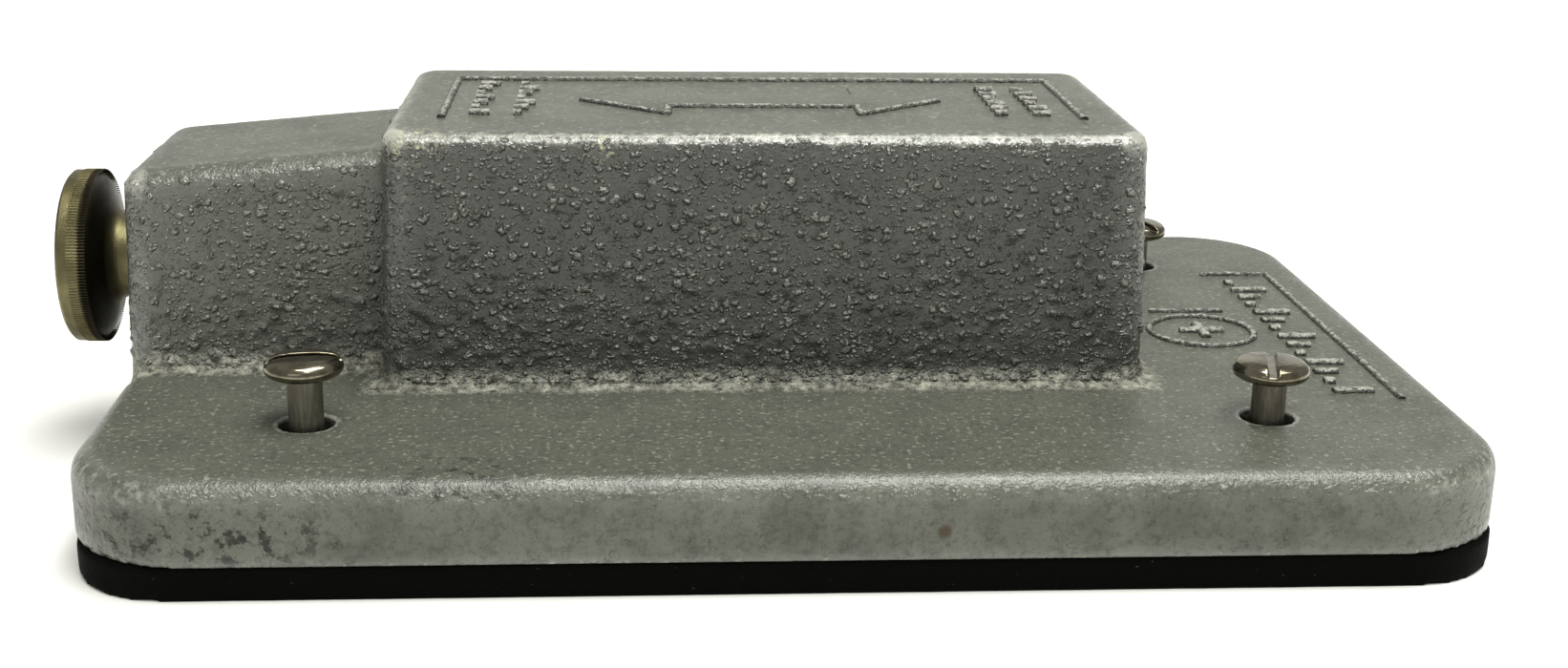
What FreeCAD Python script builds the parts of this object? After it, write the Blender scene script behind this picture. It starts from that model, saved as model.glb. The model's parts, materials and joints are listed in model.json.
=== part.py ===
import FreeCAD, Part
import math
import os

# Speed control box for a sewing machine: a cast housing on a rubber gasket, with a
# knurled knob that turns a lead screw and carries a brush along a wound resistor.
# Millimetres, +Z up, +X away from the knob. The origin is the centre of the gasket's
# underside, which is the face that lies on the bench or the mounting panel.

os.makedirs("parts", exist_ok=True)
V = FreeCAD.Vector

# ---- driving dimensions: casting ----
flange_length = 178.0
flange_width = 119.0
flange_thickness = 10.4
flange_corner_radius = 16.0
flange_edge_radius = 3.1
gasket_thickness = 4.5
gasket_inset = 0.65
gasket_corner_radius = 12.5
axis_y = 1.6
axis_rise = 11.5
nose_length = 35.0
nose_width = 35.3
nose_rise_outer = 26.8
nose_rise_inner = 30.1
nose_edge_radius = 3.2
block_length = 102.7
block_width = 52.0
block_rise = 34.1
block_edge_radius = 2.0
upright_corner_radius = 3.8
draft_angle = 1.5
wall = 4.0
end_wall = 7.0
shaft_boss_length = 4.0
shaft_boss_wall = 3.5

# ---- raised marks on the casting ----
mark_height = 0.5
line_width = 1.2
bar_width = 1.6
border_inset_end = 7.2
border_inset_rear = 10.4
border_reach = 30.5
arrow_length = 50.3
arrow_head_length = 12.0
arrow_head_half = 10.0
arrow_shaft_half = 4.6
arrow_rear_shift = 1.3
ring_radius = 8.3
ring_inset = 26.0
cross_half = 4.2
ring_bar_near = 6.8
ring_bar_far = 6.0
left_mark_offset = (3.4, 2.5)
left_mark_pitch = (5.8, 3.6)
left_mark_lengths = (4.6, 3.0, 3.8)
right_mark_offset = (13.4, 12.0)
right_mark_pitch = (5.2, 3.6)
right_mark_lengths = (3.6, 4.4, 4.4)
left_mark_rows = 7
right_mark_rows = 6
frame_inset = 6.3
frame_end_inset = 27.4
frame_return = 12.2
flange_mark_count = 14
flange_mark_margin = 3.0
flange_mark_span = (10.0, 2.6)
flange_mark_parts = (1.0, 0.45, 0.72)

# ---- mounting screws ----
hole_to_block = 10.3
hole_end_inset = 27.4
mounting_hole_diameter = 7.0
gasket_hole_margin = 0.5
screw_shank_diameter = 4.4
screw_head_diameter = 9.9
screw_head_height = 2.7
screw_length = 19.8
screw_slot_width = 1.2
screw_slot_depth = 1.3
screw_rim_inset = 0.5
screw_rim_rise = 0.6
screw_point_chamfer = 0.6
screw_stand = {
    "mounting_screw_front_left": (-1, -1, 1.55, 8.0),
    "mounting_screw_front_right": (1, -1, 0.45, 76.0),
    "mounting_screw_rear_left": (-1, 1, 0.85, 40.0),
    "mounting_screw_rear_right": (1, 1, 0.05, 120.0),
}

# ---- base plate ----
plate_thickness = 2.0
plate_gap = 0.1
plate_land = 6.5
plate_screw_inset = 3.4
plate_edge_land = 4.0
plate_screw_diameter = 3.0
plate_screw_head = 5.6
plate_screw_reach = 5.0
thread_end_gap = 1.0

# ---- knob and spindle ----
knob_diameter = 24.4
knob_rim_width = 3.2
knob_length = 9.9
knob_neck_diameter = 11.7
knob_wall_gap = 0.3
knob_skin = 2.2
knob_chamfer = 0.4
knob_flare_length = 2.5
knob_neck_fillet = 1.1
knob_set_inset = 0.4
shaft_diameter = 6.0
running_gap = 0.05
face_gap = 0.2
bush_wall = 2.0
seal_thickness = 1.6
collar_wall = 4.0
collar_length = 6.0
coupling_wall = 3.0
coupling_length = 16.0
coupling_tongue = 4.0
coupling_ring_gap = 4.0
set_screw_diameter = 3.0

# ---- lead screw and brackets ----
lead_screw_diameter = 8.0
bracket_thickness = 2.0
bracket_side_gap = 3.5
bracket_head_room = 7.6
front_bracket_setback = 5.8
rear_bracket_setback = 8.5
front_foot_length = 9.0
foot_screw_diameter = 3.0
pan_head_ratio = 1.85
foot_screw_offsets = (-4.0, 10.0)
bearing_wall = 1.5
bearing_flange_wall = 3.0
bearing_flange_thickness = 1.0
bearing_tail = 1.0
ring_thickness = 0.8
guide_offset = 11.0
guide_rod_diameter = 4.0

# ---- resistor ----
resistor_wall_gap = 1.0
resistor_carriage_gap = 1.0
resistor_floor_gap = 1.8
band_thickness = 0.5
winding_thickness = 0.5
core_bore_gap = 0.55
washer_inset = 1.25
band_width = 4.0
band_end_gap = 1.5
insulator_thickness = 1.0
tie_rod_diameter = 4.0
nut_across_flats = 7.0
nut_thickness = 3.2
tie_rod_end = 0.6

# ---- carriage ----
carriage_length = 12.0
carriage_half_height = 7.0
carriage_front_half = 6.5
carriage_rear_half = 16.0
nut_wall = 1.0
nut_flange_thickness = 1.6
small_screw_diameter = 2.0
guide_bush_wall = 1.5
arm_thickness = 0.6
arm_width = 8.0
arm_end = 3.0
arm_screw_length = 3.0
arm_screw_diameter = 2.5
nut_screw_length = 4.0
nut_screw_inset = 2.0
brush_diameter = 5.0
brush_tube_wall = 1.0
brush_gap = 0.3
spring_room = 4.0
brush_show_share = 0.35
spring_wire = 0.8
spring_turns = 2.5

# ---- terminals, grommet and earth ----
terminal_length = 30.0
terminal_depth = 12.0
terminal_height = 8.5
terminal_rear_gap = 4.6
terminal_screw_diameter = 3.0
terminal_pitch = 9.0
terminal_shift = 4.0
terminal_screw_reach = 5.0
terminal_seat = 3.0
cable_bore = 8.0
grommet_neck_wall = 2.0
grommet_lip_wall = 4.0
grommet_lip_thickness = 1.4
floor_item_gap = 2.0
earth_diameter = 4.0
earth_flange_thickness = 1.0
wire_diameter = 1.6
wire_rear_gap = 2.1
wire_rise = 3.9
wire_bend = 0.9
wire_bite = 0.3

# ---- levels and stations that follow from the driving dimensions ----
flange_base = gasket_thickness
flange_top = flange_base + flange_thickness
axis_z = flange_top + axis_rise
left_end = -flange_length / 2
right_end = flange_length / 2
block_left = left_end + nose_length
block_right = block_left + block_length
block_mid = (block_left + block_right) / 2
block_top = flange_top + block_rise
cavity_half = block_width / 2 - wall
cavity_left = block_left + wall
cavity_right = block_right - wall
cavity_top = block_top - wall
nose_half = nose_width / 2 - wall
nose_cavity_left = left_end + end_wall
nose_cavity_top = flange_top + nose_rise_outer - wall - 0.2
plate_bottom = flange_base + plate_gap
floor_z = plate_bottom + plate_thickness
plate_left = nose_cavity_left - plate_edge_land
plate_right = cavity_right + plate_land
plate_half = cavity_half + plate_land
hole_x = flange_length / 2 - hole_end_inset
hole_y = axis_y + block_width / 2 + hole_to_block
bush_diameter = shaft_diameter + 2 * running_gap + 2 * bush_wall
boss_end = nose_cavity_left + shaft_boss_length
wall_lean = math.tan(math.radians(draft_angle)) * axis_rise
front_plate_left = cavity_left + front_bracket_setback
front_plate_right = front_plate_left + bracket_thickness
rear_plate_left = cavity_right - rear_bracket_setback
rear_plate_right = rear_plate_left + bracket_thickness
travel_mid = (front_plate_right + rear_plate_left) / 2
bracket_half_width = cavity_half - bracket_side_gap
band_radius = (cavity_half - carriage_front_half - resistor_wall_gap - resistor_carriage_gap) / 2
winding_radius = band_radius - band_thickness
core_radius = winding_radius - winding_thickness
resistor_y = axis_y - cavity_half + resistor_wall_gap + band_radius
resistor_z = floor_z + resistor_floor_gap + band_radius
guide_y = axis_y + guide_offset
bearing_bore = shaft_diameter + 2 * running_gap
bearing_diameter = bearing_bore + 2 * bearing_wall
bearing_flange_diameter = bearing_bore + 2 * bearing_flange_wall
carriage_left = travel_mid - carriage_length / 2
carriage_right = travel_mid + carriage_length / 2
carriage_top = axis_z + carriage_half_height
terminal_left = travel_mid - terminal_length / 2 + terminal_shift
terminal_y = axis_y + cavity_half - terminal_rear_gap - terminal_depth / 2
grommet_bore_wall = cable_bore / 2 + grommet_lip_wall
grommet_x = terminal_left - floor_item_gap - grommet_bore_wall
earth_x = terminal_left + terminal_length + floor_item_gap + earth_diameter


def box(x0, x1, y0, y1, z0, z1):
    return Part.makeBox(x1 - x0, y1 - y0, z1 - z0, V(x0, y0, z0))


def post(x, y, z0, z1, diameter):
    return Part.makeCylinder(diameter / 2, z1 - z0, V(x, y, z0))


def rod(x0, x1, y, z, diameter):
    return Part.makeCylinder(diameter / 2, x1 - x0, V(x0, y, z), V(1, 0, 0))


def sleeve(x0, x1, y, z, outer, bore):
    return rod(x0, x1, y, z, outer).cut(rod(x0, x1, y, z, bore))


# Closed wire: a rectangle with rounded corners at height z.
def rounded_outline(x0, x1, y0, y1, z, r):
    s = r * math.sqrt(0.5)
    corners = ((x1 - r, y1 - r, 1, 1), (x0 + r, y1 - r, -1, 1),
               (x0 + r, y0 + r, -1, -1), (x1 - r, y0 + r, 1, -1))
    points = []
    for cx, cy, sx, sy in corners:
        along = V(cx + sx * r, cy, z)
        across = V(cx, cy + sy * r, z)
        middle = V(cx + sx * s, cy + sy * s, z)
        points.append((along, middle, across) if sx * sy > 0 else (across, middle, along))
    edges = []
    for i in range(4):
        edges.append(Part.Arc(*points[i]).toShape())
        edges.append(Part.makeLine(points[i][2], points[(i + 1) % 4][0]))
    return Part.Wire(edges)


def slab(x0, x1, y0, y1, z0, z1, r):
    return Part.Face(rounded_outline(x0, x1, y0, y1, z0, r)).extrude(V(0, 0, z1 - z0))


# Upright block with rounded corners whose walls lean in by the draft angle.
def tapered_block(x0, x1, y0, y1, z0, z1, r):
    lean = math.tan(math.radians(draft_angle)) * (z1 - z0)
    low = rounded_outline(x0, x1, y0, y1, z0, r)
    high = rounded_outline(x0 + lean, x1 - lean, y0 + lean, y1 - lean, z1, r)
    return Part.makeLoft([low, high], True, True)


# Edges that lie wholly at or above a height.
def edges_of_top(shape, lowest):
    return [edge for edge in shape.Edges if edge.BoundBox.ZMin >= lowest]


# Pan head screw whose head rests on seat and whose shank runs down, or up.
def pan_screw(x, y, seat, length, diameter, up=True):
    way = 1 if up else -1
    head = diameter * pan_head_ratio
    height = diameter * 0.6
    top = Part.makeCylinder(head / 2, height, V(x, y, seat), V(0, 0, way))
    shank = Part.makeCylinder(diameter / 2, length, V(x, y, seat), V(0, 0, -way))
    low, high = sorted((seat + way * height / 2, seat + way * height))
    slot = box(x - head, x + head, y - diameter / 10, y + diameter / 10, low, high)
    return top.fuse(shank).cut(slot).removeSplitter()


# Headless screw from the shaft's surface outwards, with a hexagon-sized socket.
def socket_set_screw(x, y, z, length, direction):
    body = Part.makeCylinder(set_screw_diameter / 2, length, V(x, y, z), direction)
    mouth = V(x, y, z) + direction * (length / 2)
    return body.cut(Part.makeCylinder(set_screw_diameter / 4, length, mouth, direction))


# Hexagonal prism about an axis along +X or +Z.
def hexagon(x, y, z, across, thickness, direction):
    corner = across / math.sqrt(3)
    points = []
    for i in range(7):
        a = math.radians(60 * i + 30)
        if direction.x:
            points.append(V(x, y + corner * math.cos(a), z + corner * math.sin(a)))
        else:
            points.append(V(x + corner * math.cos(a), y + corner * math.sin(a), z))
    return Part.Face(Part.makePolygon(points)).extrude(direction * thickness)


# Insulated lead through the points, with tangent arcs at the turns.
def wire_run(points, radius):
    edges = []
    start = points[0]
    for i in range(1, len(points) - 1):
        back = (points[i - 1] - points[i]).normalize()
        ahead = (points[i + 1] - points[i]).normalize()
        half_turn = (math.pi - back.getAngle(ahead)) / 2
        setback = radius * math.tan(half_turn)
        entry = points[i] + back * setback
        leave = points[i] + ahead * setback
        bisector = (back + ahead).normalize()
        centre = points[i] + bisector * (radius / math.cos(half_turn))
        edges.append(Part.makeLine(start, entry))
        edges.append(Part.Arc(entry, centre - bisector * radius, leave).toShape())
        start = leave
    edges.append(Part.makeLine(start, points[-1]))
    path = Part.Wire(edges)
    heading = (points[1] - points[0]).normalize()
    ring = Part.Wire(Part.makeCircle(wire_diameter / 2, points[0], heading))
    return path.makePipeShell([ring], True, True)


def save(name, shape):
    solids = shape.Solids
    if not solids or not all(s.isValid() for s in solids):
        raise RuntimeError(name + " is not a valid solid")
    shape.exportStep("parts/" + name + ".step")
    print(name, len(solids), round(shape.Volume, 1))


def mounting_hole_places():
    return [(x, y) for x in (-hole_x, hole_x) for y in (-hole_y, hole_y)]


def plate_screw_places():
    ys = (axis_y - plate_half + plate_screw_inset, axis_y + plate_half - plate_screw_inset)
    xs = (plate_left + plate_screw_inset, (plate_left + plate_right) / 2,
          plate_right - plate_screw_inset)
    return [(x, y) for x in xs for y in ys]


# ---- housing casting ----
def flange_solid():
    body = slab(left_end, right_end, -flange_width / 2, flange_width / 2,
                flange_base, flange_top, flange_corner_radius)
    return body.makeFillet(flange_edge_radius, edges_of_top(body, flange_top - 0.01))


def block_solid():
    body = tapered_block(block_left, block_right, axis_y - block_width / 2,
                         axis_y + block_width / 2, flange_top, block_top,
                         upright_corner_radius)
    return body.makeFillet(block_edge_radius, edges_of_top(body, block_top - 0.01))


# The nose stands flush with the flange's end, so its foot goes down past the rounded edge.
def nose_solid():
    inner = block_left + 2 * wall
    foot = slab(left_end, inner, axis_y - nose_width / 2, axis_y + nose_width / 2,
                flange_top - flange_edge_radius - 1.0, flange_top, upright_corner_radius)
    crown = flange_top + nose_rise_outer + nose_rise_inner
    body = tapered_block(left_end, inner, axis_y - nose_width / 2,
                         axis_y + nose_width / 2, flange_top, crown,
                         upright_corner_radius)
    slope = (nose_rise_inner - nose_rise_outer) / nose_length
    low = flange_top + nose_rise_outer
    high = low + slope * (inner + 1.0 - left_end)
    side = Part.makePolygon([
        V(left_end - 1.0, axis_y - nose_width, low - slope),
        V(inner + 1.0, axis_y - nose_width, high),
        V(inner + 1.0, axis_y - nose_width, crown + 1.0),
        V(left_end - 1.0, axis_y - nose_width, crown + 1.0),
        V(left_end - 1.0, axis_y - nose_width, low - slope)])
    body = body.cut(Part.Face(side).extrude(V(0, 2 * nose_width, 0)))
    return body.makeFillet(nose_edge_radius, edges_of_top(body, low - 0.1)).fuse(foot)


def raised_bar(x0, x1, y0, y1, seat):
    return box(x0, x1, y0, y1, seat - mark_height, seat + mark_height)


# Flat pad that stands up from the surface, with a polygon for its outline.
def raised_pad(points, seat):
    loop = Part.makePolygon([V(x, y, seat - mark_height) for x, y in points + points[:1]])
    return Part.Face(loop).extrude(V(0, 0, 2 * mark_height))


def arrow_outline():
    tip = arrow_length / 2
    neck = tip - arrow_head_length
    half = [(tip, 0), (neck, arrow_head_half), (neck, arrow_shaft_half)]
    upper = half + [(-x, y) for x, y in reversed(half)]
    lower = [(-x, -y) for x, y in upper[1:-1]]
    return [(block_mid + x, axis_y - arrow_rear_shift + y) for x, y in upper + lower]


def roof_marks():
    left = block_left + border_inset_end
    right = block_right - border_inset_end
    rear = axis_y + block_width / 2 - border_inset_rear
    front = rear - border_reach
    marks = [raised_bar(left, left + line_width, front, rear, block_top),
             raised_bar(right - line_width, right, front, rear, block_top),
             raised_bar(left, right, rear - line_width, rear, block_top),
             raised_pad(arrow_outline(), block_top)]
    for column in range(2):
        x = left + left_mark_offset[0] + column * left_mark_pitch[0]
        for row in range(left_mark_rows):
            y = front + left_mark_offset[1] + row * left_mark_pitch[1]
            length = left_mark_lengths[(row + column) % 3]
            marks.append(raised_bar(x, x + length, y, y + bar_width, block_top))
        x = right - right_mark_offset[0] + column * right_mark_pitch[0]
        for row in range(right_mark_rows):
            y = axis_y - right_mark_offset[1] + row * right_mark_pitch[1]
            length = right_mark_lengths[(row + column) % 3]
            marks.append(raised_bar(x, x + length, y, y + bar_width, block_top))
    return marks


# Frame line, ringed cross and a row of plain bars by the flange's right end.
def flange_marks():
    frame_x = right_end - frame_inset
    frame_y = flange_width / 2 - frame_end_inset
    marks = [raised_bar(frame_x - line_width, frame_x, -frame_y, frame_y, flange_top),
             raised_bar(frame_x - frame_return, frame_x, frame_y - line_width, frame_y, flange_top)]
    ring_x = right_end - ring_inset
    ring = post(ring_x, 0, flange_top - mark_height, flange_top + mark_height, 2 * ring_radius)
    marks.append(ring.cut(post(ring_x, 0, flange_top - 2 * mark_height,
                               flange_top + 2 * mark_height, 2 * (ring_radius - line_width))))
    half = bar_width / 2
    marks.append(raised_bar(ring_x - cross_half, ring_x + cross_half, -half, half, flange_top))
    marks.append(raised_bar(ring_x - half, ring_x + half, -cross_half, cross_half, flange_top))
    marks.append(raised_bar(ring_x - ring_bar_far, ring_x + ring_bar_near,
                            ring_radius + line_width, ring_radius + 2 * line_width, flange_top))
    pitch = 2 * (frame_y - flange_mark_margin) / flange_mark_count
    for i in range(flange_mark_count):
        y = -frame_y + flange_mark_margin + i * pitch
        length = (flange_mark_span[0] - flange_mark_span[1]) * flange_mark_parts[i % 3]
        start = frame_x - flange_mark_span[0]
        marks.append(raised_bar(start, start + length, y, y + bar_width, flange_top))
    return marks


def housing_casting():
    lumps = [block_solid(), nose_solid()] + roof_marks() + flange_marks()
    if not all(lump.isValid() for lump in lumps):
        raise RuntimeError("a lump of the casting is not a valid solid")
    body = flange_solid().fuse(lumps)
    boss = rod(nose_cavity_left - 1.0, boss_end, axis_y, axis_z, bush_diameter + 2 * shaft_boss_wall)
    cavity = slab(cavity_left, cavity_right, axis_y - cavity_half, axis_y + cavity_half,
                  flange_base - 1.0, cavity_top, upright_corner_radius)
    nose_cavity = box(nose_cavity_left, cavity_left + upright_corner_radius,
                      axis_y - nose_half, axis_y + nose_half, flange_base - 1.0, nose_cavity_top)
    rebate = slab(plate_left - plate_gap, plate_right + plate_gap,
                  axis_y - plate_half - plate_gap, axis_y + plate_half + plate_gap,
                  flange_base - 1.0, floor_z, upright_corner_radius)
    body = body.cut([cavity, nose_cavity, rebate]).fuse(boss)
    drills = [rod(left_end - 2.0, boss_end + 1.0, axis_y, axis_z, bush_diameter)]
    for x, y in mounting_hole_places():
        drills.append(post(x, y, flange_base - 1, flange_top + 1, mounting_hole_diameter))
    for x, y in plate_screw_places():
        drills.append(post(x, y, floor_z - 1, floor_z + plate_screw_reach + thread_end_gap,
                           plate_screw_diameter))
    return body.cut(drills).removeSplitter()


save("housing_casting", housing_casting())

shaft_bush = sleeve(left_end + wall_lean + face_gap, boss_end, axis_y, axis_z,
                    bush_diameter, shaft_diameter + 2 * running_gap)
save("shaft_bush", shaft_bush)

seal_end = boss_end + seal_thickness
save("shaft_seal", sleeve(boss_end, seal_end, axis_y, axis_z,
                          bush_diameter + shaft_boss_wall, shaft_diameter + 2 * running_gap))


# ---- gasket, base plate and what is fixed to the plate ----
def base_gasket():
    sheet = slab(left_end + gasket_inset, right_end - gasket_inset,
                 -flange_width / 2 + gasket_inset, flange_width / 2 - gasket_inset,
                 0, gasket_thickness, gasket_corner_radius)
    holes = [post(grommet_x, terminal_y, -1, gasket_thickness + 1,
                  2 * grommet_bore_wall + floor_item_gap)]
    for x, y in mounting_hole_places():
        holes.append(post(x, y, -1, gasket_thickness + 1,
                          mounting_hole_diameter + 2 * gasket_hole_margin))
    return sheet.cut(holes)


# Countersunk screw, flush with the underside of the plate.
def plate_screw(x, y):
    cone_height = (plate_screw_head - plate_screw_diameter) / 2
    cone = Part.makeCone(plate_screw_head / 2, plate_screw_diameter / 2, cone_height,
                         V(x, y, plate_bottom))
    shank = post(x, y, plate_bottom + cone_height, floor_z + plate_screw_reach,
                 plate_screw_diameter)
    slot = box(x - plate_screw_head, x + plate_screw_head, y - 0.4, y + 0.4,
               plate_bottom - 1, plate_bottom + 0.7)
    return cone, shank, slot


def foot_screw_places():
    ys = [axis_y + offset for offset in foot_screw_offsets]
    front = front_plate_left - front_foot_length / 2
    rear = rear_plate_right + (cavity_right - face_gap - rear_plate_right) / 2
    return [(x, y) for x in (front, rear) for y in ys]


def terminal_fixing_places():
    first = terminal_left + (terminal_length - 2 * terminal_pitch) / 2
    return [(first + terminal_pitch * (i + 0.5), terminal_y) for i in range(2)]


def base_plate():
    sheet = slab(plate_left, plate_right, axis_y - plate_half, axis_y + plate_half,
                 plate_bottom, floor_z, upright_corner_radius)
    holes = [post(grommet_x, terminal_y, 0, floor_z + 1, cable_bore + 2 * grommet_neck_wall)]
    for x, y in plate_screw_places():
        cone, shank, slot = plate_screw(x, y)
        holes.append(cone)
        holes.append(shank)
    for x, y in foot_screw_places() + terminal_fixing_places():
        holes.append(post(x, y, 0, floor_z + 1, foot_screw_diameter))
    return sheet.cut(holes)


save("base_gasket", base_gasket())
save("base_plate", base_plate())
plate_screws = []
for x, y in plate_screw_places():
    cone, shank, slot = plate_screw(x, y)
    plate_screws.append(cone.fuse(shank).cut(slot))
save("base_plate_screws", Part.makeCompound(plate_screws))

grommet = post(grommet_x, terminal_y, plate_bottom - grommet_lip_thickness, plate_bottom,
               2 * grommet_bore_wall)
grommet = grommet.fuse([
    post(grommet_x, terminal_y, plate_bottom, floor_z, cable_bore + 2 * grommet_neck_wall),
    post(grommet_x, terminal_y, floor_z, floor_z + grommet_lip_thickness, 2 * grommet_bore_wall)])
grommet = grommet.cut(post(grommet_x, terminal_y, 0, floor_z + 5, cable_bore))
save("cable_grommet", grommet.removeSplitter())


# ---- knob ----
knob_back = left_end - knob_wall_gap
knob_face = knob_back - knob_length + knob_wall_gap
knob_rim_back = knob_face + knob_rim_width


def knob():
    r = knob_diameter / 2
    neck = knob_neck_diameter / 2
    flare = knob_rim_back + knob_flare_length
    points = {
        "face": V(knob_face, 0, 0),
        "lip": V(knob_face, r - knob_chamfer, 0),
        "rim": V(knob_face + knob_chamfer, r, 0),
        "heel": V(knob_rim_back, r, 0),
        "swell": V(knob_rim_back + 1.55, r - 2.0, 0),
        "waist": V(flare, neck + knob_neck_fillet, 0),
        "fillet": V(flare + 0.32 * knob_neck_fillet, neck + 0.32 * knob_neck_fillet, 0),
        "neck": V(flare + 1.2 * knob_neck_fillet, neck, 0),
        "back": V(knob_back, neck, 0),
        "axis": V(knob_back, 0, 0),
    }
    outline = [
        Part.makeLine(points["face"], points["lip"]),
        Part.makeLine(points["lip"], points["rim"]),
        Part.makeLine(points["rim"], points["heel"]),
        Part.Arc(points["heel"], points["swell"], points["waist"]).toShape(),
        Part.Arc(points["waist"], points["fillet"], points["neck"]).toShape(),
        Part.makeLine(points["neck"], points["back"]),
        Part.makeLine(points["back"], points["axis"]),
        Part.makeLine(points["axis"], points["face"]),
    ]
    body = Part.Face(Part.Wire(outline)).revolve(V(0, 0, 0), V(1, 0, 0), 360)
    body.translate(V(0, axis_y, axis_z))
    bore = rod(knob_face + knob_skin, knob_back + 1, axis_y, axis_z, shaft_diameter)
    hole = Part.makeCylinder(set_screw_diameter / 2, knob_diameter,
                             V(knob_set_x, axis_y, axis_z), V(0, 0, -1))
    return body.cut([bore, hole])


knob_set_x = knob_back - set_screw_diameter / 2 - knob_set_inset
save("knob", knob())
save("knob_set_screw", socket_set_screw(
    knob_set_x, axis_y, axis_z - shaft_diameter / 2,
    (knob_neck_diameter - shaft_diameter) / 2 - face_gap, V(0, 0, -1)))


# ---- knob shaft, collar and coupling ----
front_bearing_end = front_plate_left - bearing_tail
front_ring_right = front_bearing_end - running_gap
front_ring_left = front_ring_right - ring_thickness
coupling_right = front_ring_left - coupling_ring_gap
coupling_left = coupling_right - coupling_length
coupling_mid = (coupling_left + coupling_right) / 2
coupling_diameter = shaft_diameter + 2 * coupling_wall
collar_left = seal_end + running_gap
collar_right = collar_left + collar_length
collar_diameter = shaft_diameter + 2 * collar_wall

save("knob_shaft", rod(knob_face + knob_skin + face_gap, coupling_mid - face_gap,
                       axis_y, axis_z, shaft_diameter))

collar_mid = (collar_left + collar_right) / 2
collar = sleeve(collar_left, collar_right, axis_y, axis_z, collar_diameter, shaft_diameter)
save("shaft_collar", collar.cut(post(collar_mid, axis_y, axis_z, axis_z + collar_diameter,
                                     set_screw_diameter)))
save("collar_set_screw", socket_set_screw(collar_mid, axis_y, axis_z + shaft_diameter / 2,
                                          collar_wall - face_gap, V(0, 0, 1)))

coupling_set_x = (coupling_left + coupling_mid) / 2
coupling = sleeve(coupling_left, coupling_mid, axis_y, axis_z, coupling_diameter, shaft_diameter)
fork = rod(coupling_mid, coupling_right, axis_y, axis_z, coupling_diameter)
fork_slot = box(coupling_mid, coupling_right + 1,
                axis_y - coupling_tongue / 2, axis_y + coupling_tongue / 2,
                axis_z - coupling_diameter, axis_z + coupling_diameter)
coupling = coupling.fuse(fork.cut(fork_slot)).removeSplitter()
save("shaft_coupling", coupling.cut(post(coupling_set_x, axis_y, axis_z,
                                         axis_z + coupling_diameter, set_screw_diameter)))
save("coupling_set_screw", socket_set_screw(coupling_set_x, axis_y, axis_z + shaft_diameter / 2,
                                            coupling_wall - face_gap, V(0, 0, 1)))


# ---- lead screw with its bearings and rings ----
thread_left = front_plate_right + bearing_flange_thickness + face_gap
thread_right = rear_plate_left - bearing_flange_thickness - face_gap
rear_bearing_end = rear_plate_right + bearing_tail
rear_ring_left = rear_bearing_end + running_gap
rear_ring_right = rear_ring_left + ring_thickness
journal_end = rear_ring_right + ring_thickness

tongue = rod(coupling_mid + face_gap, coupling_right + face_gap, axis_y, axis_z, shaft_diameter)
tongue = tongue.common(box(coupling_mid, coupling_right + 1, axis_y - coupling_tongue / 2,
                           axis_y + coupling_tongue / 2, axis_z - shaft_diameter,
                           axis_z + shaft_diameter))
lead_screw = tongue.fuse([
    rod(coupling_right + face_gap, thread_left, axis_y, axis_z, shaft_diameter),
    rod(thread_left, thread_right, axis_y, axis_z, lead_screw_diameter),
    rod(thread_right, journal_end, axis_y, axis_z, shaft_diameter)])
save("lead_screw", lead_screw.removeSplitter())

front_bearing = sleeve(front_bearing_end, front_plate_right, axis_y, axis_z,
                       bearing_diameter, bearing_bore)
front_bearing = front_bearing.fuse(sleeve(
    front_plate_right, front_plate_right + bearing_flange_thickness, axis_y, axis_z,
    bearing_flange_diameter, bearing_bore))
save("front_bearing", front_bearing.removeSplitter())

rear_bearing = sleeve(rear_plate_left, rear_bearing_end, axis_y, axis_z,
                      bearing_diameter, bearing_bore)
rear_bearing = rear_bearing.fuse(sleeve(
    rear_plate_left - bearing_flange_thickness, rear_plate_left, axis_y, axis_z,
    bearing_flange_diameter, bearing_bore))
save("rear_bearing", rear_bearing.removeSplitter())

ring_diameter = shaft_diameter + 3.0
save("lead_screw_rings", Part.makeCompound([
    sleeve(front_ring_left, front_ring_right, axis_y, axis_z, ring_diameter, shaft_diameter),
    sleeve(rear_ring_left, rear_ring_right, axis_y, axis_z, ring_diameter, shaft_diameter)]))


# ---- brackets and guide rod ----
def bracket(plate_x0, foot_x0, foot_x1):
    upright = box(plate_x0, plate_x0 + bracket_thickness, axis_y - bracket_half_width,
                  axis_y + bracket_half_width, floor_z, axis_z + bracket_head_room)
    foot_half = nose_half - face_gap
    foot = box(foot_x0, foot_x1, axis_y - foot_half, axis_y + foot_half,
               floor_z, floor_z + bracket_thickness)
    tip = plate_x0 + bracket_thickness + 1
    holes = [rod(plate_x0 - 1, tip, axis_y, axis_z, bearing_diameter),
             rod(plate_x0 - 1, tip, guide_y, axis_z, guide_rod_diameter),
             rod(plate_x0 - 1, tip, resistor_y, resistor_z, tie_rod_diameter)]
    for x, y in foot_screw_places():
        holes.append(post(x, y, floor_z - 1, floor_z + bracket_thickness + 1,
                          foot_screw_diameter))
    return upright.fuse(foot).cut(holes).removeSplitter()


save("front_bracket", bracket(front_plate_left, front_plate_left - front_foot_length,
                              front_plate_left))
save("rear_bracket", bracket(rear_plate_left, rear_plate_right, cavity_right - face_gap))
save("bracket_screws", Part.makeCompound([
    pan_screw(x, y, floor_z + bracket_thickness, bracket_thickness + plate_thickness - face_gap,
              foot_screw_diameter) for x, y in foot_screw_places()]))

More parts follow.
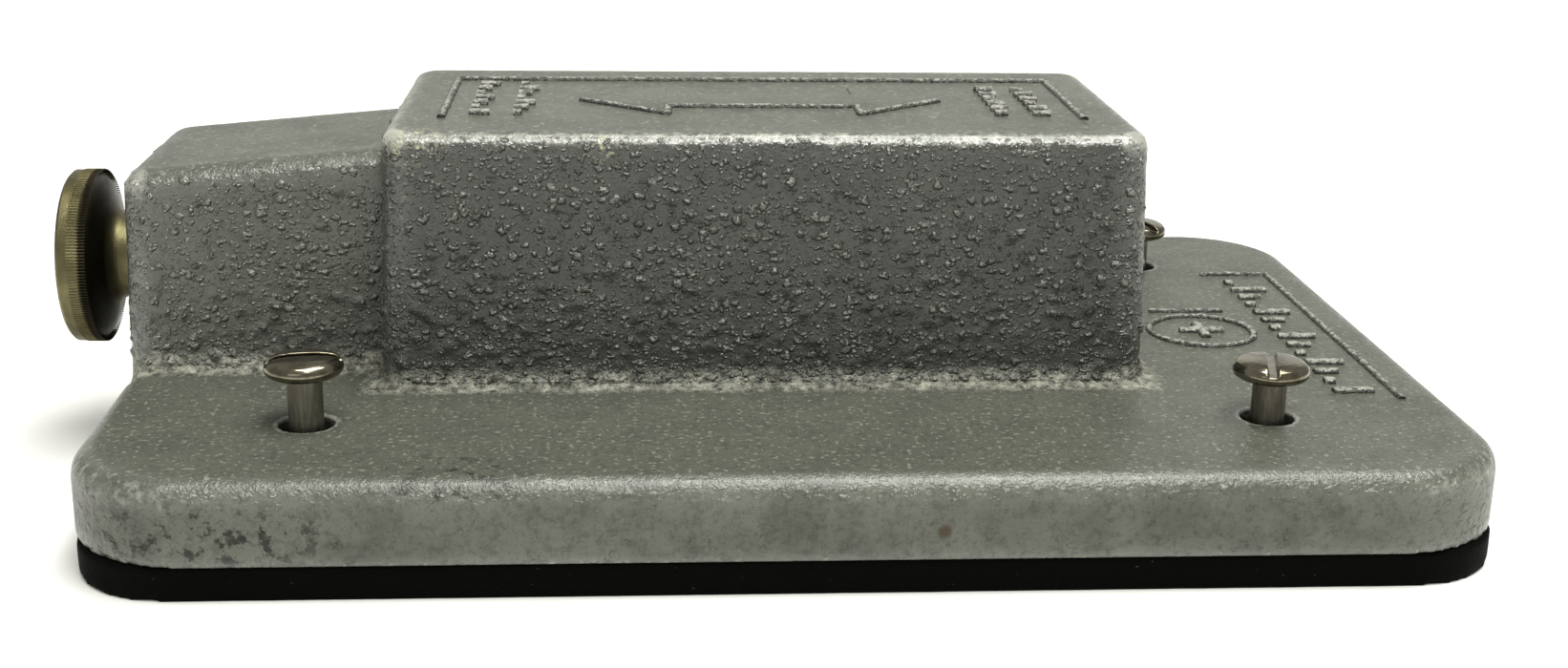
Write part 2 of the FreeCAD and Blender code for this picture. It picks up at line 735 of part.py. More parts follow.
clip_diameter = guide_rod_diameter + 4.0
front_clip_right = front_plate_left
rear_clip_left = rear_plate_right
save("guide_rod", rod(front_clip_right - 2 * ring_thickness, rear_clip_left + 2 * ring_thickness,
                      guide_y, axis_z, guide_rod_diameter))
save("guide_rod_clips", Part.makeCompound([
    sleeve(front_clip_right - ring_thickness, front_clip_right, guide_y, axis_z,
           clip_diameter, guide_rod_diameter),
    sleeve(rear_clip_left, rear_clip_left + ring_thickness, guide_y, axis_z,
           clip_diameter, guide_rod_diameter)]))


# ---- resistor ----
core_left = front_plate_right + insulator_thickness
core_right = rear_plate_left - insulator_thickness
front_band = core_left + band_end_gap
rear_band = core_right - band_end_gap - band_width
core_bore = tie_rod_diameter + 2 * core_bore_gap
tie_left = front_plate_left - insulator_thickness - nut_thickness
tie_right = rear_plate_right + insulator_thickness + nut_thickness

save("resistor_core", sleeve(core_left, core_right, resistor_y, resistor_z,
                             2 * core_radius, core_bore))
save("resistance_winding", sleeve(front_band + band_width, rear_band, resistor_y, resistor_z,
                                  2 * winding_radius, 2 * core_radius))
save("winding_end_bands", Part.makeCompound([
    sleeve(x, x + band_width, resistor_y, resistor_z, 2 * band_radius, 2 * core_radius)
    for x in (front_band, rear_band)]))
washer_diameter = 2 * (winding_radius - washer_inset)
save("end_insulators", Part.makeCompound([
    sleeve(x, x + insulator_thickness, resistor_y, resistor_z, washer_diameter, tie_rod_diameter)
    for x in (front_plate_left - insulator_thickness, front_plate_right,
              core_right, rear_plate_right)]))
save("resistor_tie_rod", rod(tie_left - tie_rod_end, tie_right + tie_rod_end,
                             resistor_y, resistor_z, tie_rod_diameter))
save("tie_rod_nuts", Part.makeCompound([
    hexagon(x, resistor_y, resistor_z, nut_across_flats, nut_thickness, V(1, 0, 0))
    .cut(rod(x - 1, x + nut_thickness + 1, resistor_y, resistor_z, tie_rod_diameter))
    for x in (tie_left, rear_plate_right + insulator_thickness)]))


# ---- carriage with its nut, bush, arm and brush ----
nut_bore = lead_screw_diameter + 2 * running_gap
nut_diameter = nut_bore + 2 * nut_wall
guide_bush_bore = guide_rod_diameter + 2 * running_gap
guide_bush_diameter = guide_bush_bore + 2 * guide_bush_wall
arm_seat_y = axis_y + carriage_front_half
nut_screw_y = carriage_front_half - nut_screw_inset
nut_screw_z = carriage_half_height - nut_screw_inset
tube_diameter = brush_diameter + 0.1 + 2 * brush_tube_wall
brush_tip = resistor_z + winding_radius + brush_gap
brush_top = carriage_top - spring_room
tube_bottom = brush_tip + (brush_top - brush_tip) * brush_show_share
arm_screw_xs = (travel_mid - arm_width * 0.3, travel_mid + arm_width * 0.3)


def nut_screw_places():
    return [(axis_y + side * nut_screw_y, axis_z - side * nut_screw_z) for side in (-1, 1)]


carriage = box(carriage_left, carriage_right, axis_y - carriage_front_half,
               axis_y + carriage_rear_half, axis_z - carriage_half_height, carriage_top)
carriage_holes = [rod(carriage_left - 1, carriage_right + 1, axis_y, axis_z, nut_diameter),
                  rod(carriage_left - 1, carriage_right + 1, guide_y, axis_z,
                      guide_bush_diameter)]
for x in arm_screw_xs:
    carriage_holes.append(post(x, arm_seat_y, carriage_top - arm_screw_length,
                               carriage_top + 1, arm_screw_diameter))
for y, z in nut_screw_places():
    carriage_holes.append(rod(carriage_right - nut_screw_length, carriage_right + 1, y, z,
                              small_screw_diameter))
save("carriage", carriage.cut(carriage_holes))

flange_right = carriage_right + nut_flange_thickness
lead_nut = rod(carriage_left, carriage_right, axis_y, axis_z, nut_diameter)
lead_nut = lead_nut.fuse(box(carriage_right, flange_right, axis_y - carriage_front_half,
                             axis_y + carriage_front_half, axis_z - carriage_half_height,
                             carriage_top))
nut_cuts = [rod(carriage_left - 1, flange_right + 1, axis_y, axis_z, nut_bore)]
for y, z in nut_screw_places():
    nut_cuts.append(rod(carriage_right, flange_right + 1, y, z, small_screw_diameter))
save("lead_nut", lead_nut.cut(nut_cuts))
save("lead_nut_screws", Part.makeCompound([
    rod(carriage_right - nut_screw_length, flange_right, y, z, small_screw_diameter)
    .fuse(rod(flange_right, flange_right + 1.2, y, z, small_screw_diameter * pan_head_ratio))
    for y, z in nut_screw_places()]))
save("guide_bush", sleeve(carriage_left, carriage_right, guide_y, axis_z,
                          guide_bush_diameter, guide_bush_bore))

arm = box(travel_mid - arm_width / 2, travel_mid + arm_width / 2,
          resistor_y - tube_diameter / 2, arm_seat_y + arm_end,
          carriage_top, carriage_top + arm_thickness)
save("brush_arm", arm.cut([post(x, arm_seat_y, carriage_top - 1, carriage_top + 2,
                                arm_screw_diameter) for x in arm_screw_xs]))
save("brush_arm_screws", Part.makeCompound([
    pan_screw(x, arm_seat_y, carriage_top + arm_thickness, arm_screw_length + arm_thickness,
              arm_screw_diameter) for x in arm_screw_xs]))
tube = post(travel_mid, resistor_y, tube_bottom, carriage_top, tube_diameter)
save("brush_tube", tube.cut(post(travel_mid, resistor_y, 0, carriage_top + 1,
                                 tube_diameter - 2 * brush_tube_wall)))
save("carbon_brush", post(travel_mid, resistor_y, brush_tip, brush_top, brush_diameter))


def brush_spring():
    radius = (brush_diameter - spring_wire) / 2
    height = carriage_top - brush_top - spring_wire
    coil = Part.makeHelix(height / spring_turns, height, radius)
    section = Part.Wire(Part.makeCircle(spring_wire / 2, V(radius, 0, 0), V(0, 1, 0)))
    body = Part.Wire(coil).makePipeShell([section], True, True)
    body.translate(V(travel_mid, resistor_y, brush_top + spring_wire / 2))
    return body


save("brush_spring", brush_spring())


# ---- terminal block, leads and earth stud ----
terminal_first = terminal_left + (terminal_length - 2 * terminal_pitch) / 2
terminal_xs = [terminal_first + terminal_pitch * i for i in range(3)]
terminal_top = floor_z + terminal_height
terminal_front = terminal_y - terminal_depth / 2
terminal_rear = terminal_y + terminal_depth / 2


def terminal_screw_places():
    return [(x, terminal_y + side * terminal_depth / 4) for x in terminal_xs for side in (-1, 1)]


block = box(terminal_left, terminal_left + terminal_length, terminal_front, terminal_rear,
            floor_z, terminal_top)
block_cuts = []
for x, y in terminal_screw_places():
    block_cuts.append(post(x, y, terminal_top - terminal_screw_reach, terminal_top + 1,
                           terminal_screw_diameter))
for x, y in terminal_fixing_places():
    block_cuts.append(post(x, y, floor_z - 1, terminal_top + 1, foot_screw_diameter))
    block_cuts.append(post(x, y, floor_z + terminal_seat, terminal_top + 1,
                           foot_screw_diameter * pan_head_ratio + face_gap))
save("terminal_block", block.cut(block_cuts))
save("terminal_screws", Part.makeCompound([
    pan_screw(x, y, terminal_top, terminal_screw_reach, terminal_screw_diameter)
    for x, y in terminal_screw_places()]))
save("terminal_block_screws", Part.makeCompound([
    pan_screw(x, y, floor_z + terminal_seat, terminal_seat + plate_thickness - face_gap,
              foot_screw_diameter)
    for x, y in terminal_fixing_places()]))

lead_z = floor_z + wire_rise
run_y = resistor_y + band_radius + wire_diameter


# Lead from the terminal block's front face to the side of a band.
def lead_to_band(start_x, band_x):
    drop = resistor_z - lead_z
    reach = math.sqrt(band_radius ** 2 - drop ** 2)
    lead = wire_run([V(start_x, terminal_front, lead_z), V(start_x, run_y, lead_z),
                     V(band_x, run_y, lead_z), V(band_x, resistor_y + reach - wire_bite, lead_z)],
                    wire_bend)
    return lead.cut(rod(core_left, core_right, resistor_y, resistor_z, 2 * band_radius))


save("lead_wire_front", lead_to_band(terminal_xs[0], front_band + band_width / 2))
save("lead_wire_rear", lead_to_band(terminal_xs[2], rear_band + band_width / 2))

tag_x = rear_plate_left - 1.3
rear_run_y = axis_y + cavity_half - wire_rear_gap
save("lead_wire_guide", wire_run([
    V(terminal_xs[1], terminal_rear, lead_z), V(terminal_xs[1], rear_run_y, lead_z),
    V(tag_x, rear_run_y, lead_z), V(tag_x, rear_run_y, axis_z),
    V(tag_x, guide_y, axis_z)], wire_bend)
    .cut(rod(core_left, rear_plate_left, guide_y, axis_z, guide_rod_diameter)))

earth_stud = post(earth_x, terminal_y, floor_z, floor_z + earth_flange_thickness,
                  earth_diameter * 1.75)
earth_stud = earth_stud.fuse(post(earth_x, terminal_y, floor_z,
                                  floor_z + earth_flange_thickness + 2 * nut_thickness,
                                  earth_diameter))
save("earth_stud", earth_stud.removeSplitter())
earth_seat = floor_z + earth_flange_thickness
save("earth_nut", hexagon(earth_x, terminal_y, earth_seat, nut_across_flats, nut_thickness,
                          V(0, 0, 1))
     .cut(post(earth_x, terminal_y, floor_z, earth_seat + 2 * nut_thickness, earth_diameter)))


# ---- mounting screws, standing loose in their holes ----
def mounting_screw(x, y, tip, slot_angle):
    r = screw_head_diameter / 2
    seat = tip + screw_length
    crown = seat + screw_head_height
    edge = [V(0, 0, seat), V(r - screw_rim_inset, 0, seat), V(r, 0, seat + screw_rim_rise)]
    profile = [
        Part.makeLine(edge[0], edge[1]),
        Part.makeLine(edge[1], edge[2]),
        Part.Arc(edge[2], V(r * 0.72, 0, seat + screw_head_height * 0.75),
                 V(0, 0, crown)).toShape(),
        Part.makeLine(V(0, 0, crown), edge[0]),
    ]
    head = Part.Face(Part.Wire(profile)).revolve(V(0, 0, 0), V(0, 0, 1), 360)
    slot = box(-r - 1, r + 1, -screw_slot_width / 2, screw_slot_width / 2,
               crown - screw_slot_depth, crown + 1)
    slot.rotate(V(0, 0, 0), V(0, 0, 1), slot_angle)
    neck = tip + screw_point_chamfer
    shank = post(0, 0, neck, seat, screw_shank_diameter)
    point = Part.makeCone(screw_shank_diameter / 2 - screw_point_chamfer,
                          screw_shank_diameter / 2, screw_point_chamfer, V(0, 0, tip))
    screw = head.cut(slot).fuse([shank, point]).removeSplitter()
    screw.translate(V(x, y, 0))
    return screw


for name, (side_x, side_y, tip, slot_angle) in screw_stand.items():
    save(name, mounting_screw(side_x * hole_x, side_y * hole_y, tip, slot_angle))
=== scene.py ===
import bpy
import bmesh
import json
import math
import numpy as np
from mathutils import Matrix, Vector


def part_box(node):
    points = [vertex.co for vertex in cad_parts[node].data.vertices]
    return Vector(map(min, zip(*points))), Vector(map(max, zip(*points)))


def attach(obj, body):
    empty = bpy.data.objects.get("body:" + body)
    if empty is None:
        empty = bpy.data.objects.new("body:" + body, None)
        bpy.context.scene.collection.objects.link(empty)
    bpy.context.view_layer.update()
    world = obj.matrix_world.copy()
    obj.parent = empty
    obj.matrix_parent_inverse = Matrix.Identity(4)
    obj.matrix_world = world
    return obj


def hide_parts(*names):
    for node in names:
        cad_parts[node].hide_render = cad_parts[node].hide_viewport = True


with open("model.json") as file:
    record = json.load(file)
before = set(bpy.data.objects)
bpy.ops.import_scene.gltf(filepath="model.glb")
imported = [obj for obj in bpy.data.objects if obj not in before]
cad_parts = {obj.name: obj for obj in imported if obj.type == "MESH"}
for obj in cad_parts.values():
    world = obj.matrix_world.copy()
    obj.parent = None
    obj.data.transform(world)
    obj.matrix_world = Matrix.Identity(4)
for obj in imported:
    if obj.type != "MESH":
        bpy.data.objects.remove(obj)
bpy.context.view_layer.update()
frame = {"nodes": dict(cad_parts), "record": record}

nodes = frame["nodes"]
scene = bpy.context.scene
print("frame loaded:", len(nodes), "nodes")


# node tree helpers

def feed(tree, socket, value):
    # an input takes either a link from another socket or a plain value
    if isinstance(value, bpy.types.NodeSocket):
        tree.links.new(value, socket)
    else:
        socket.default_value = value


def feedAll(tree, node, inputs):
    for key, value in inputs.items():
        feed(tree, node.inputs[key], value)
    return node.outputs


def addNode(tree, kind, inputs=None, **settings):
    node = tree.nodes.new(kind)
    for key, value in settings.items():
        setattr(node, key, value)
    feedAll(tree, node, inputs or {})
    return node


def calc(tree, operation, a, b=0.0, clamp=False):
    inputs = {0: a, 1: b}
    return addNode(tree, "ShaderNodeMath", inputs, operation=operation, use_clamp=clamp).outputs[0]


def times(tree, a, b, clamp=False):
    return calc(tree, "MULTIPLY", a, b, clamp)


def plus(tree, a, b):
    return calc(tree, "ADD", a, b)


def minus(tree, a, b, clamp=False):
    return calc(tree, "SUBTRACT", a, b, clamp)


def over(tree, a, b):
    return calc(tree, "DIVIDE", a, b)


def axes(tree, vector):
    return addNode(tree, "ShaderNodeSeparateXYZ", {0: vector}).outputs


def remap(tree, value, low, high, toLow=0.0, toHigh=1.0):
    inputs = {"Value": value, "From Min": low, "From Max": high, "To Min": toLow, "To Max": toHigh}
    return addNode(tree, "ShaderNodeMapRange", inputs, clamp=True).outputs[0]


def mixColour(tree, factor, a, b):
    node = addNode(tree, "ShaderNodeMix", data_type="RGBA")
    for key, value in (("Factor_Float", factor), ("A_Color", a), ("B_Color", b)):
        feed(tree, next(s for s in node.inputs if s.identifier == key), value)
    return next(s for s in node.outputs if s.identifier == "Result_Color")


def coat(tree, base, mask, share, tone):
    # one more tone over the base, at a share of its mask
    return mixColour(tree, times(tree, mask, share), base, tone)


def noise(tree, vector, scale, detail=3.0, roughness=0.5):
    inputs = {"Vector": vector, "Scale": scale, "Detail": detail, "Roughness": roughness}
    return addNode(tree, "ShaderNodeTexNoise", inputs).outputs[0]


def vectorMath(tree, operation, a, b=None, result=0):
    inputs = {0: a}
    if b is not None:
        inputs[3 if operation == "SCALE" else 1] = b
    return addNode(tree, "ShaderNodeVectorMath", inputs, operation=operation).outputs[result]


def blisterField(tree, vector, size, cover):
    # rounded blisters: each cell of a jittered grid holds one or none, heights in parts of a cell
    scale = over(tree, 1.0, size)
    waver = addNode(tree, "ShaderNodeTexNoise", {
        "Vector": vector, "Scale": times(tree, scale, 1.3), "Detail": 2.0}).outputs[1]
    shift = vectorMath(tree, "SCALE", vectorMath(tree, "SUBTRACT", waver, (0.5, 0.5, 0.5)), size)
    place = vectorMath(tree, "MULTIPLY", vectorMath(tree, "ADD", vector, shift), (0.8, 0.9, 1.1))
    cells = addNode(tree, "ShaderNodeTexVoronoi", {"Vector": place, "Scale": scale}).outputs
    pick = axes(tree, cells["Color"])
    reach = remap(tree, pick["X"], 0.0, 1.0, 0.22, 0.55)
    ratio = over(tree, cells["Distance"], reach)
    dome = minus(tree, 1.0, times(tree, ratio, ratio), True)
    here = calc(tree, "LESS_THAN", pick["Y"], cover)
    return times(tree, times(tree, dome, here), reach)


def newGroup(name, inputs, outputs):
    tree = bpy.data.node_groups.new(name, "ShaderNodeTree")
    kinds = {"vector": "NodeSocketVector", "value": "NodeSocketFloat", "colour": "NodeSocketColor"}
    for label, kind, value in inputs:
        socket = tree.interface.new_socket(label, in_out="INPUT", socket_type=kinds[kind])
        if value is not None:
            socket.default_value = value
    for label, kind in outputs:
        tree.interface.new_socket(label, in_out="OUTPUT", socket_type=kinds[kind])
    return tree, tree.nodes.new("NodeGroupInput").outputs, tree.nodes.new("NodeGroupOutput").inputs


def useGroup(tree, group, inputs):
    node = tree.nodes.new("ShaderNodeGroup")
    node.node_tree = group
    return feedAll(tree, node, inputs)


# shared effects

def makeGrain():
    # soft mottling and fine grit, both about 0 to 1
    tree, put, out = newGroup("surfaceGrain", [
        ("Vector", "vector", None), ("Mottle Size", "value", 0.006),
        ("Grit Size", "value", 0.0004)], [("Mottle", "value"), ("Grit", "value")])
    mottleScale = over(tree, 1.0, put["Mottle Size"])
    gritScale = over(tree, 1.0, put["Grit Size"])
    tree.links.new(noise(tree, put["Vector"], mottleScale, 4.0, 0.6), out["Mottle"])
    tree.links.new(noise(tree, put["Vector"], gritScale, 2.0, 0.6), out["Grit"])
    return tree


def makeWearHighlight():
    # mask of rubbed places and of painted edge highlight: an edge value broken up by patchy noise
    tree, put, out = newGroup("edgeWearHighlight", [
        ("Vector", "vector", None), ("Edge", "value", 0.0), ("Patch Size", "value", 0.003),
        ("Start", "value", 0.3), ("Full", "value", 0.8), ("Breakup", "value", 0.5)],
        [("Mask", "value")])
    patches = noise(tree, put["Vector"], over(tree, 1.0, put["Patch Size"]), 5.0, 0.65)
    swing = times(tree, minus(tree, patches, 0.5), put["Breakup"])
    edge = plus(tree, put["Edge"], times(tree, swing, 2.0))
    inputs = {"Value": edge, "From Min": put["Start"], "From Max": put["Full"]}
    node = addNode(tree, "ShaderNodeMapRange", inputs, clamp=True)
    tree.links.new(node.outputs[0], out["Mask"])
    return tree


def makeDust():
    # pale dust that gathers in hollows, in fine speckles
    tree, put, out = newGroup("settledDust", [
        ("Vector", "vector", None), ("Hollow", "value", 0.0)], [("Mask", "value")])
    speckle = remap(tree, noise(tree, put["Vector"], 900.0, 4.0, 0.7), 0.36, 0.58)
    tree.links.new(times(tree, put["Hollow"], speckle, True), out["Mask"])
    return tree


def makeTurned():
    # fine rings that a lathe leaves round the X axis
    tree, put, out = newGroup("turnedRings", [
        ("Vector", "vector", None), ("Pitch", "value", 0.0002), ("Strength", "value", 1.0)],
        [("Rings", "value")])
    parts = axes(tree, put["Vector"])
    stretch = addNode(tree, "ShaderNodeCombineXYZ", {
        "X": parts["X"], "Y": times(tree, parts["Y"], 0.04),
        "Z": times(tree, parts["Z"], 0.04)}).outputs[0]
    scale = over(tree, 1.0, put["Pitch"])
    lines = noise(tree, stretch, scale, 3.0, 0.7)
    tree.links.new(times(tree, lines, put["Strength"]), out["Rings"])
    return tree


grainGroup = makeGrain()
wearHighlightGroup = makeWearHighlight()
dustGroup = makeDust()
turnedGroup = makeTurned()


def grainOn(tree, vector, mottle, grit):
    sizes = {"Vector": vector, "Mottle Size": mottle, "Grit Size": grit}
    return useGroup(tree, grainGroup, sizes)


def mottled(tree, grain, low, high, one, two):
    # two tones that follow the grain's mottling
    return mixColour(tree, remap(tree, grain["Mottle"], low, high), one, two)


def newMaterial(name):
    material = bpy.data.materials.new(name)
    material.use_nodes = True
    tree = material.node_tree
    shader = tree.nodes["Principled BSDF"]
    vector = addNode(tree, "ShaderNodeTexCoord").outputs["Object"]
    return material, tree, shader, vector


def attribute(tree, name):
    return addNode(tree, "ShaderNodeAttribute", attribute_name=name).outputs["Fac"]


def bump(tree, height, distance, normal=None):
    inputs = {"Height": height, "Distance": distance, "Strength": 1.0}
    if normal is not None:
        inputs["Normal"] = normal
    return addNode(tree, "ShaderNodeBump", inputs).outputs[0]


# housing casting: sizes of its rough skin, and the levels that its paint and marks share

casting = {
    "cell": 0.00045,
    "quickCell": 0.0009,
    "growth": {"Soften Steps": 1, "Foot Steps": 30, "Edge Steps": 12, "Edge Full": 0.00022,
               "Wave Size": 0.0034, "Wave Depth": 0.00014, "Lump Size": 0.0017,
               "Lump Depth": 0.00050},
    "footReach": 0.0040,
    "faces": 188000,
    "flangeTop": 0.0149,
    "roofTop": 0.0490,
    "axisY": 0.0016,
    "blockEnds": (-0.0540, 0.0487),
    "blockHalf": 0.0260,
    "noseHalf": 0.01765,
    "noseRise": (0.0268, 0.0301),
}


# grey enamel over rough cast iron; its wall, nose wall and side tones are painted shade and
# painted light on the one enamel

paint = {
    "top": (0.082, 0.085, 0.069, 1.0),
    "wall": (0.040, 0.043, 0.036, 1.0),
    "noseWallLit": (0.092, 0.095, 0.080, 1.0),
    "side": (0.130, 0.134, 0.112, 1.0),
    "mottle": (0.062, 0.065, 0.053, 1.0),
    "wearAndHighlight": (0.36, 0.36, 0.32, 1.0),
    "grime": (0.018, 0.018, 0.015, 1.0),
    "dust": (0.42, 0.42, 0.35, 1.0),
    "chip": (0.42, 0.40, 0.28, 1.0),
    "rust": (0.05, 0.028, 0.015, 1.0),
    "lumpSize": 0.00130,
    "fineSize": 0.00065,
    "lumpDepth": 0.00140,
    "gritDepth": 0.00010,
    "roughness": (0.306, 0.391),
    "scuffPlaces": [((-0.0710, -0.0595, 0.0080), 0.020, (1.0, 1.0, 3.4)),
                    ((-0.0420, -0.0575, 0.0140), 0.012, (1.0, 1.0, 6.0))],
    "chipPlaces": [((-0.0500, -0.0240, 0.0480), 0.0060, (1.0, 1.0, 1.6)),
                   ((-0.0245, -0.0245, 0.0476), 0.0028, (1.0, 1.0, 1.0))],
    "rustPlaces": [((0.0165, -0.0595, 0.0082), 0.0011, (1.0, 1.0, 1.0))],
}


def makeLumps():
    # isolated blisters of paint over sand-cast iron, in two sizes
    tree, put, out = newGroup("paintLumps", [
        ("Vector", "vector", None), ("Size", "value", 0.0016), ("Fine Size", "value", 0.0008),
        ("Cover", "value", 0.5)], [("Height", "value"), ("Peaks", "value")])
    big = blisterField(tree, put["Vector"], put["Size"], put["Cover"])
    fine = blisterField(tree, put["Vector"], put["Fine Size"], plus(tree, put["Cover"], 0.15))
    swell = noise(tree, put["Vector"], over(tree, 1.0, put["Size"]), 3.0, 0.6)
    share = over(tree, put["Fine Size"], put["Size"])
    height = plus(tree, big, times(tree, fine, share))
    height = plus(tree, height, times(tree, swell, 0.22))
    tree.links.new(height, out["Height"])
    tree.links.new(remap(tree, plus(tree, big, fine), 0.16, 0.46), out["Peaks"])
    return tree


lumpGroup = makeLumps()


def spots(tree, vector, places):
    # soft round masks about places on the casting, each a centre, a reach and a stretch
    mask = 0.0
    for centre, reach, stretch in places:
        away = vectorMath(tree, "MULTIPLY", vectorMath(tree, "SUBTRACT", vector, centre), stretch)
        length = vectorMath(tree, "LENGTH", away, result=1)
        mask = calc(tree, "MAXIMUM", mask, remap(tree, length, reach * 0.5, reach, 1.0, 0.0))
    return mask


def castPaint():
    material, tree, shader, vector = newMaterial("castPaint")
    grain = grainOn(tree, vector, 0.009, 0.00035)
    edge, hollow = attribute(tree, "edge"), attribute(tree, "hollow")
    wall, side = attribute(tree, "wall"), attribute(tree, "side")
    foot = attribute(tree, "footZone")
    along, _, tall = axes(tree, vector)[:3]
    cover = remap(tree, tall, 0.016, 0.046, 1.0, 0.55)
    cover = plus(tree, cover, remap(tree, grain["Mottle"], 0.35, 0.65, -0.25, 0.25))
    lumps = useGroup(tree, lumpGroup, {"Vector": vector, "Size": paint["lumpSize"],
                                       "Fine Size": paint["fineSize"], "Cover": cover})
    # painted shade and light: the one enamel is darker on the block's upright walls and lighter on
    # the nose wall and the flange's sides
    blockLeft = casting["blockEnds"][0]
    onNose = remap(tree, along, blockLeft + 0.0005, blockLeft - 0.0005)
    base = mixColour(tree, onNose, paint["wall"], paint["noseWallLit"])
    base = mixColour(tree, wall, paint["top"], base)
    base = mixColour(tree, side, base, paint["side"])
    clouds = remap(tree, grain["Mottle"], 0.45, 0.62)
    base = coat(tree, base, clouds, 0.55, paint["mottle"])
    pits = remap(tree, noise(tree, vector, 1100.0, 4.0, 0.7), 0.50, 0.62)
    base = coat(tree, base, pits, 0.32, paint["grime"])
    # painted highlight: the tops of the blisters on the walls are lighter
    litPeaks = times(tree, lumps["Peaks"], wall)
    base = coat(tree, base, litPeaks, 0.38, paint["wearAndHighlight"])
    # rubbed paint and a painted highlight: the upper edges lighter in broken patches
    wearAndHighlight = useGroup(tree, wearHighlightGroup, {"Vector": vector, "Edge": edge, "Patch Size": 0.0012,
                                        "Start": 0.50, "Full": 0.95, "Breakup": 0.7})["Mask"]
    wearAndHighlight = times(tree, wearAndHighlight, remap(tree, tall, 0.0085, 0.0125))
    base = coat(tree, base, wearAndHighlight, 0.85, paint["wearAndHighlight"])
    # painted shade: darker in the concave creases and along the foot of the walls
    base = coat(tree, base, hollow, 0.35, paint["grime"])
    ragged = remap(tree, grain["Grit"], 0.3, 0.7, -0.12, 0.12)
    band = remap(tree, plus(tree, foot, ragged), 0.25, 0.62)
    dust = useGroup(tree, dustGroup, {"Vector": vector, "Hollow": band})["Mask"]
    patchy = remap(tree, noise(tree, vector, 420.0, 3.0, 0.6), 0.35, 0.60, 0.20, 0.78)
    base = coat(tree, base, dust, patchy, paint["dust"])
    flat = minus(tree, minus(tree, 1.0, wall), side, True)
    specks = remap(tree, noise(tree, vector, 1400.0, 2.0, 0.5), 0.60, 0.68)
    specks = times(tree, specks, flat)
    base = coat(tree, base, specks, 0.28, paint["dust"])
    # dark scuffs low on the flange's front, yellowish chips on the block's corner, then rust
    scuffs = remap(tree, noise(tree, vector, 420.0, 6.0, 0.72), 0.53, 0.58)
    place = spots(tree, vector, paint["scuffPlaces"])
    base = coat(tree, base, times(tree, scuffs, place), 0.92, paint["grime"])
    chips = remap(tree, noise(tree, vector, 900.0, 5.0, 0.7), 0.52, 0.58)
    place = spots(tree, vector, paint["chipPlaces"])
    base = coat(tree, base, times(tree, chips, place), 0.8, paint["chip"])
    base = coat(tree, base, spots(tree, vector, paint["rustPlaces"]), 0.8, paint["rust"])
    share = plus(tree, times(tree, wall, 0.9), 0.06)
    share = plus(tree, share, times(tree, side, 0.26))
    share = plus(tree, share, times(tree, band, 0.6))
    height = times(tree, lumps["Height"], share)
    coarse = bump(tree, height, paint["lumpDepth"])
    fine = bump(tree, grain["Grit"], paint["gritDepth"], coarse)
    low, high = paint["roughness"]
    rough = remap(tree, grain["Mottle"], 0.3, 0.7, low, high)
    rough = plus(tree, rough, times(tree, dust, 0.25))
    rough = minus(tree, rough, times(tree, wall, 0.06))
    rough = minus(tree, rough, times(tree, edge, 0.08))
    shine = plus(tree, times(tree, wall, 0.55), 0.22)
    shine = plus(tree, shine, times(tree, edge, 0.9))
    feedAll(tree, shader, {"Base Color": base, "Normal": fine, "Roughness": rough,
                           "Specular IOR Level": shine})
    return material


def markPaint():
    # the same paint on the raised marks: painted shade round their feet, and wear with painted
    # highlight along their tops
    material, tree, shader, vector = newMaterial("markPaint")
    tall = axes(tree, vector)["Z"]
    roof, flange = casting["roofTop"], casting["flangeTop"]
    onRoof = calc(tree, "GREATER_THAN", tall, (roof + flange) / 2)
    rise = minus(tree, tall, plus(tree, times(tree, onRoof, roof - flange), flange))
    grain = grainOn(tree, vector, 0.004, 0.00035)
    base = mottled(tree, grain, 0.4, 0.6, paint["top"], paint["mottle"])
    # rubbed paint and a painted highlight: the ridges' tops lighter in patches
    crest = remap(tree, rise, 0.00015, 0.00045)
    wearAndHighlight = useGroup(tree, wearHighlightGroup, {"Vector": vector, "Edge": crest, "Patch Size": 0.0011,
                                        "Start": 0.7, "Full": 1.1, "Breakup": 1.2})["Mask"]
    base = coat(tree, base, wearAndHighlight, 0.85, paint["wearAndHighlight"])
    # painted shade round the feet of the ridges, broken up by pits
    pits = remap(tree, noise(tree, vector, 1500.0, 3.0, 0.65), 0.42, 0.56, 0.0, 0.00046)
    footShade = remap(tree, minus(tree, rise, pits), 0.00002, 0.00022, 1.0, 0.0)
    base = coat(tree, base, footShade, 0.9, paint["grime"])
    lumps = noise(tree, vector, 1800.0, 3.0, 0.6)
    rough = remap(tree, grain["Mottle"], 0.3, 0.7, 0.24, 0.36)
    feedAll(tree, shader, {"Base Color": base, "Normal": bump(tree, lumps, 0.00045),
                           "Roughness": rough})
    return material


def knobBrass():
    # dull olive brass, painted nearly black on the dished back as painted shade, with bright rings
    # round the neck
    material, tree, shader, vector = newMaterial("knobBrass")
    parts = axes(tree, vector)
    low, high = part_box("knob")
    across = minus(tree, parts["Y"], (low.y + high.y) / 2)
    up = minus(tree, parts["Z"], (low.z + high.z) / 2)
    radius = calc(tree, "SQRT", plus(tree, times(tree, across, across), times(tree, up, up)))
    grain = grainOn(tree, vector, 0.003, 0.0002)
    base = mottled(tree, grain, 0.35, 0.65, (0.150, 0.134, 0.070, 1.0),
                   (0.100, 0.088, 0.046, 1.0))
    # painted shade on the dished back, which faces the nose's end wall
    dishShade = times(tree, remap(tree, parts["X"], low.x + 0.00305, low.x + 0.00330),
                  remap(tree, radius, 0.0066, 0.0078))
    base = coat(tree, base, dishShade, 0.92, (0.020, 0.016, 0.011, 1.0))
    rough = remap(tree, grain["Mottle"], 0.3, 0.7, 0.34, 0.48)
    rings = useGroup(tree, turnedGroup, {"Vector": vector, "Pitch": 0.00022})["Rings"]
    height = plus(tree, times(tree, rings, 0.7), grain["Grit"])
    feedAll(tree, shader, {"Base Color": base, "Metallic": 1.0, "Roughness": rough,
                           "Normal": bump(tree, height, 0.00004)})
    return material


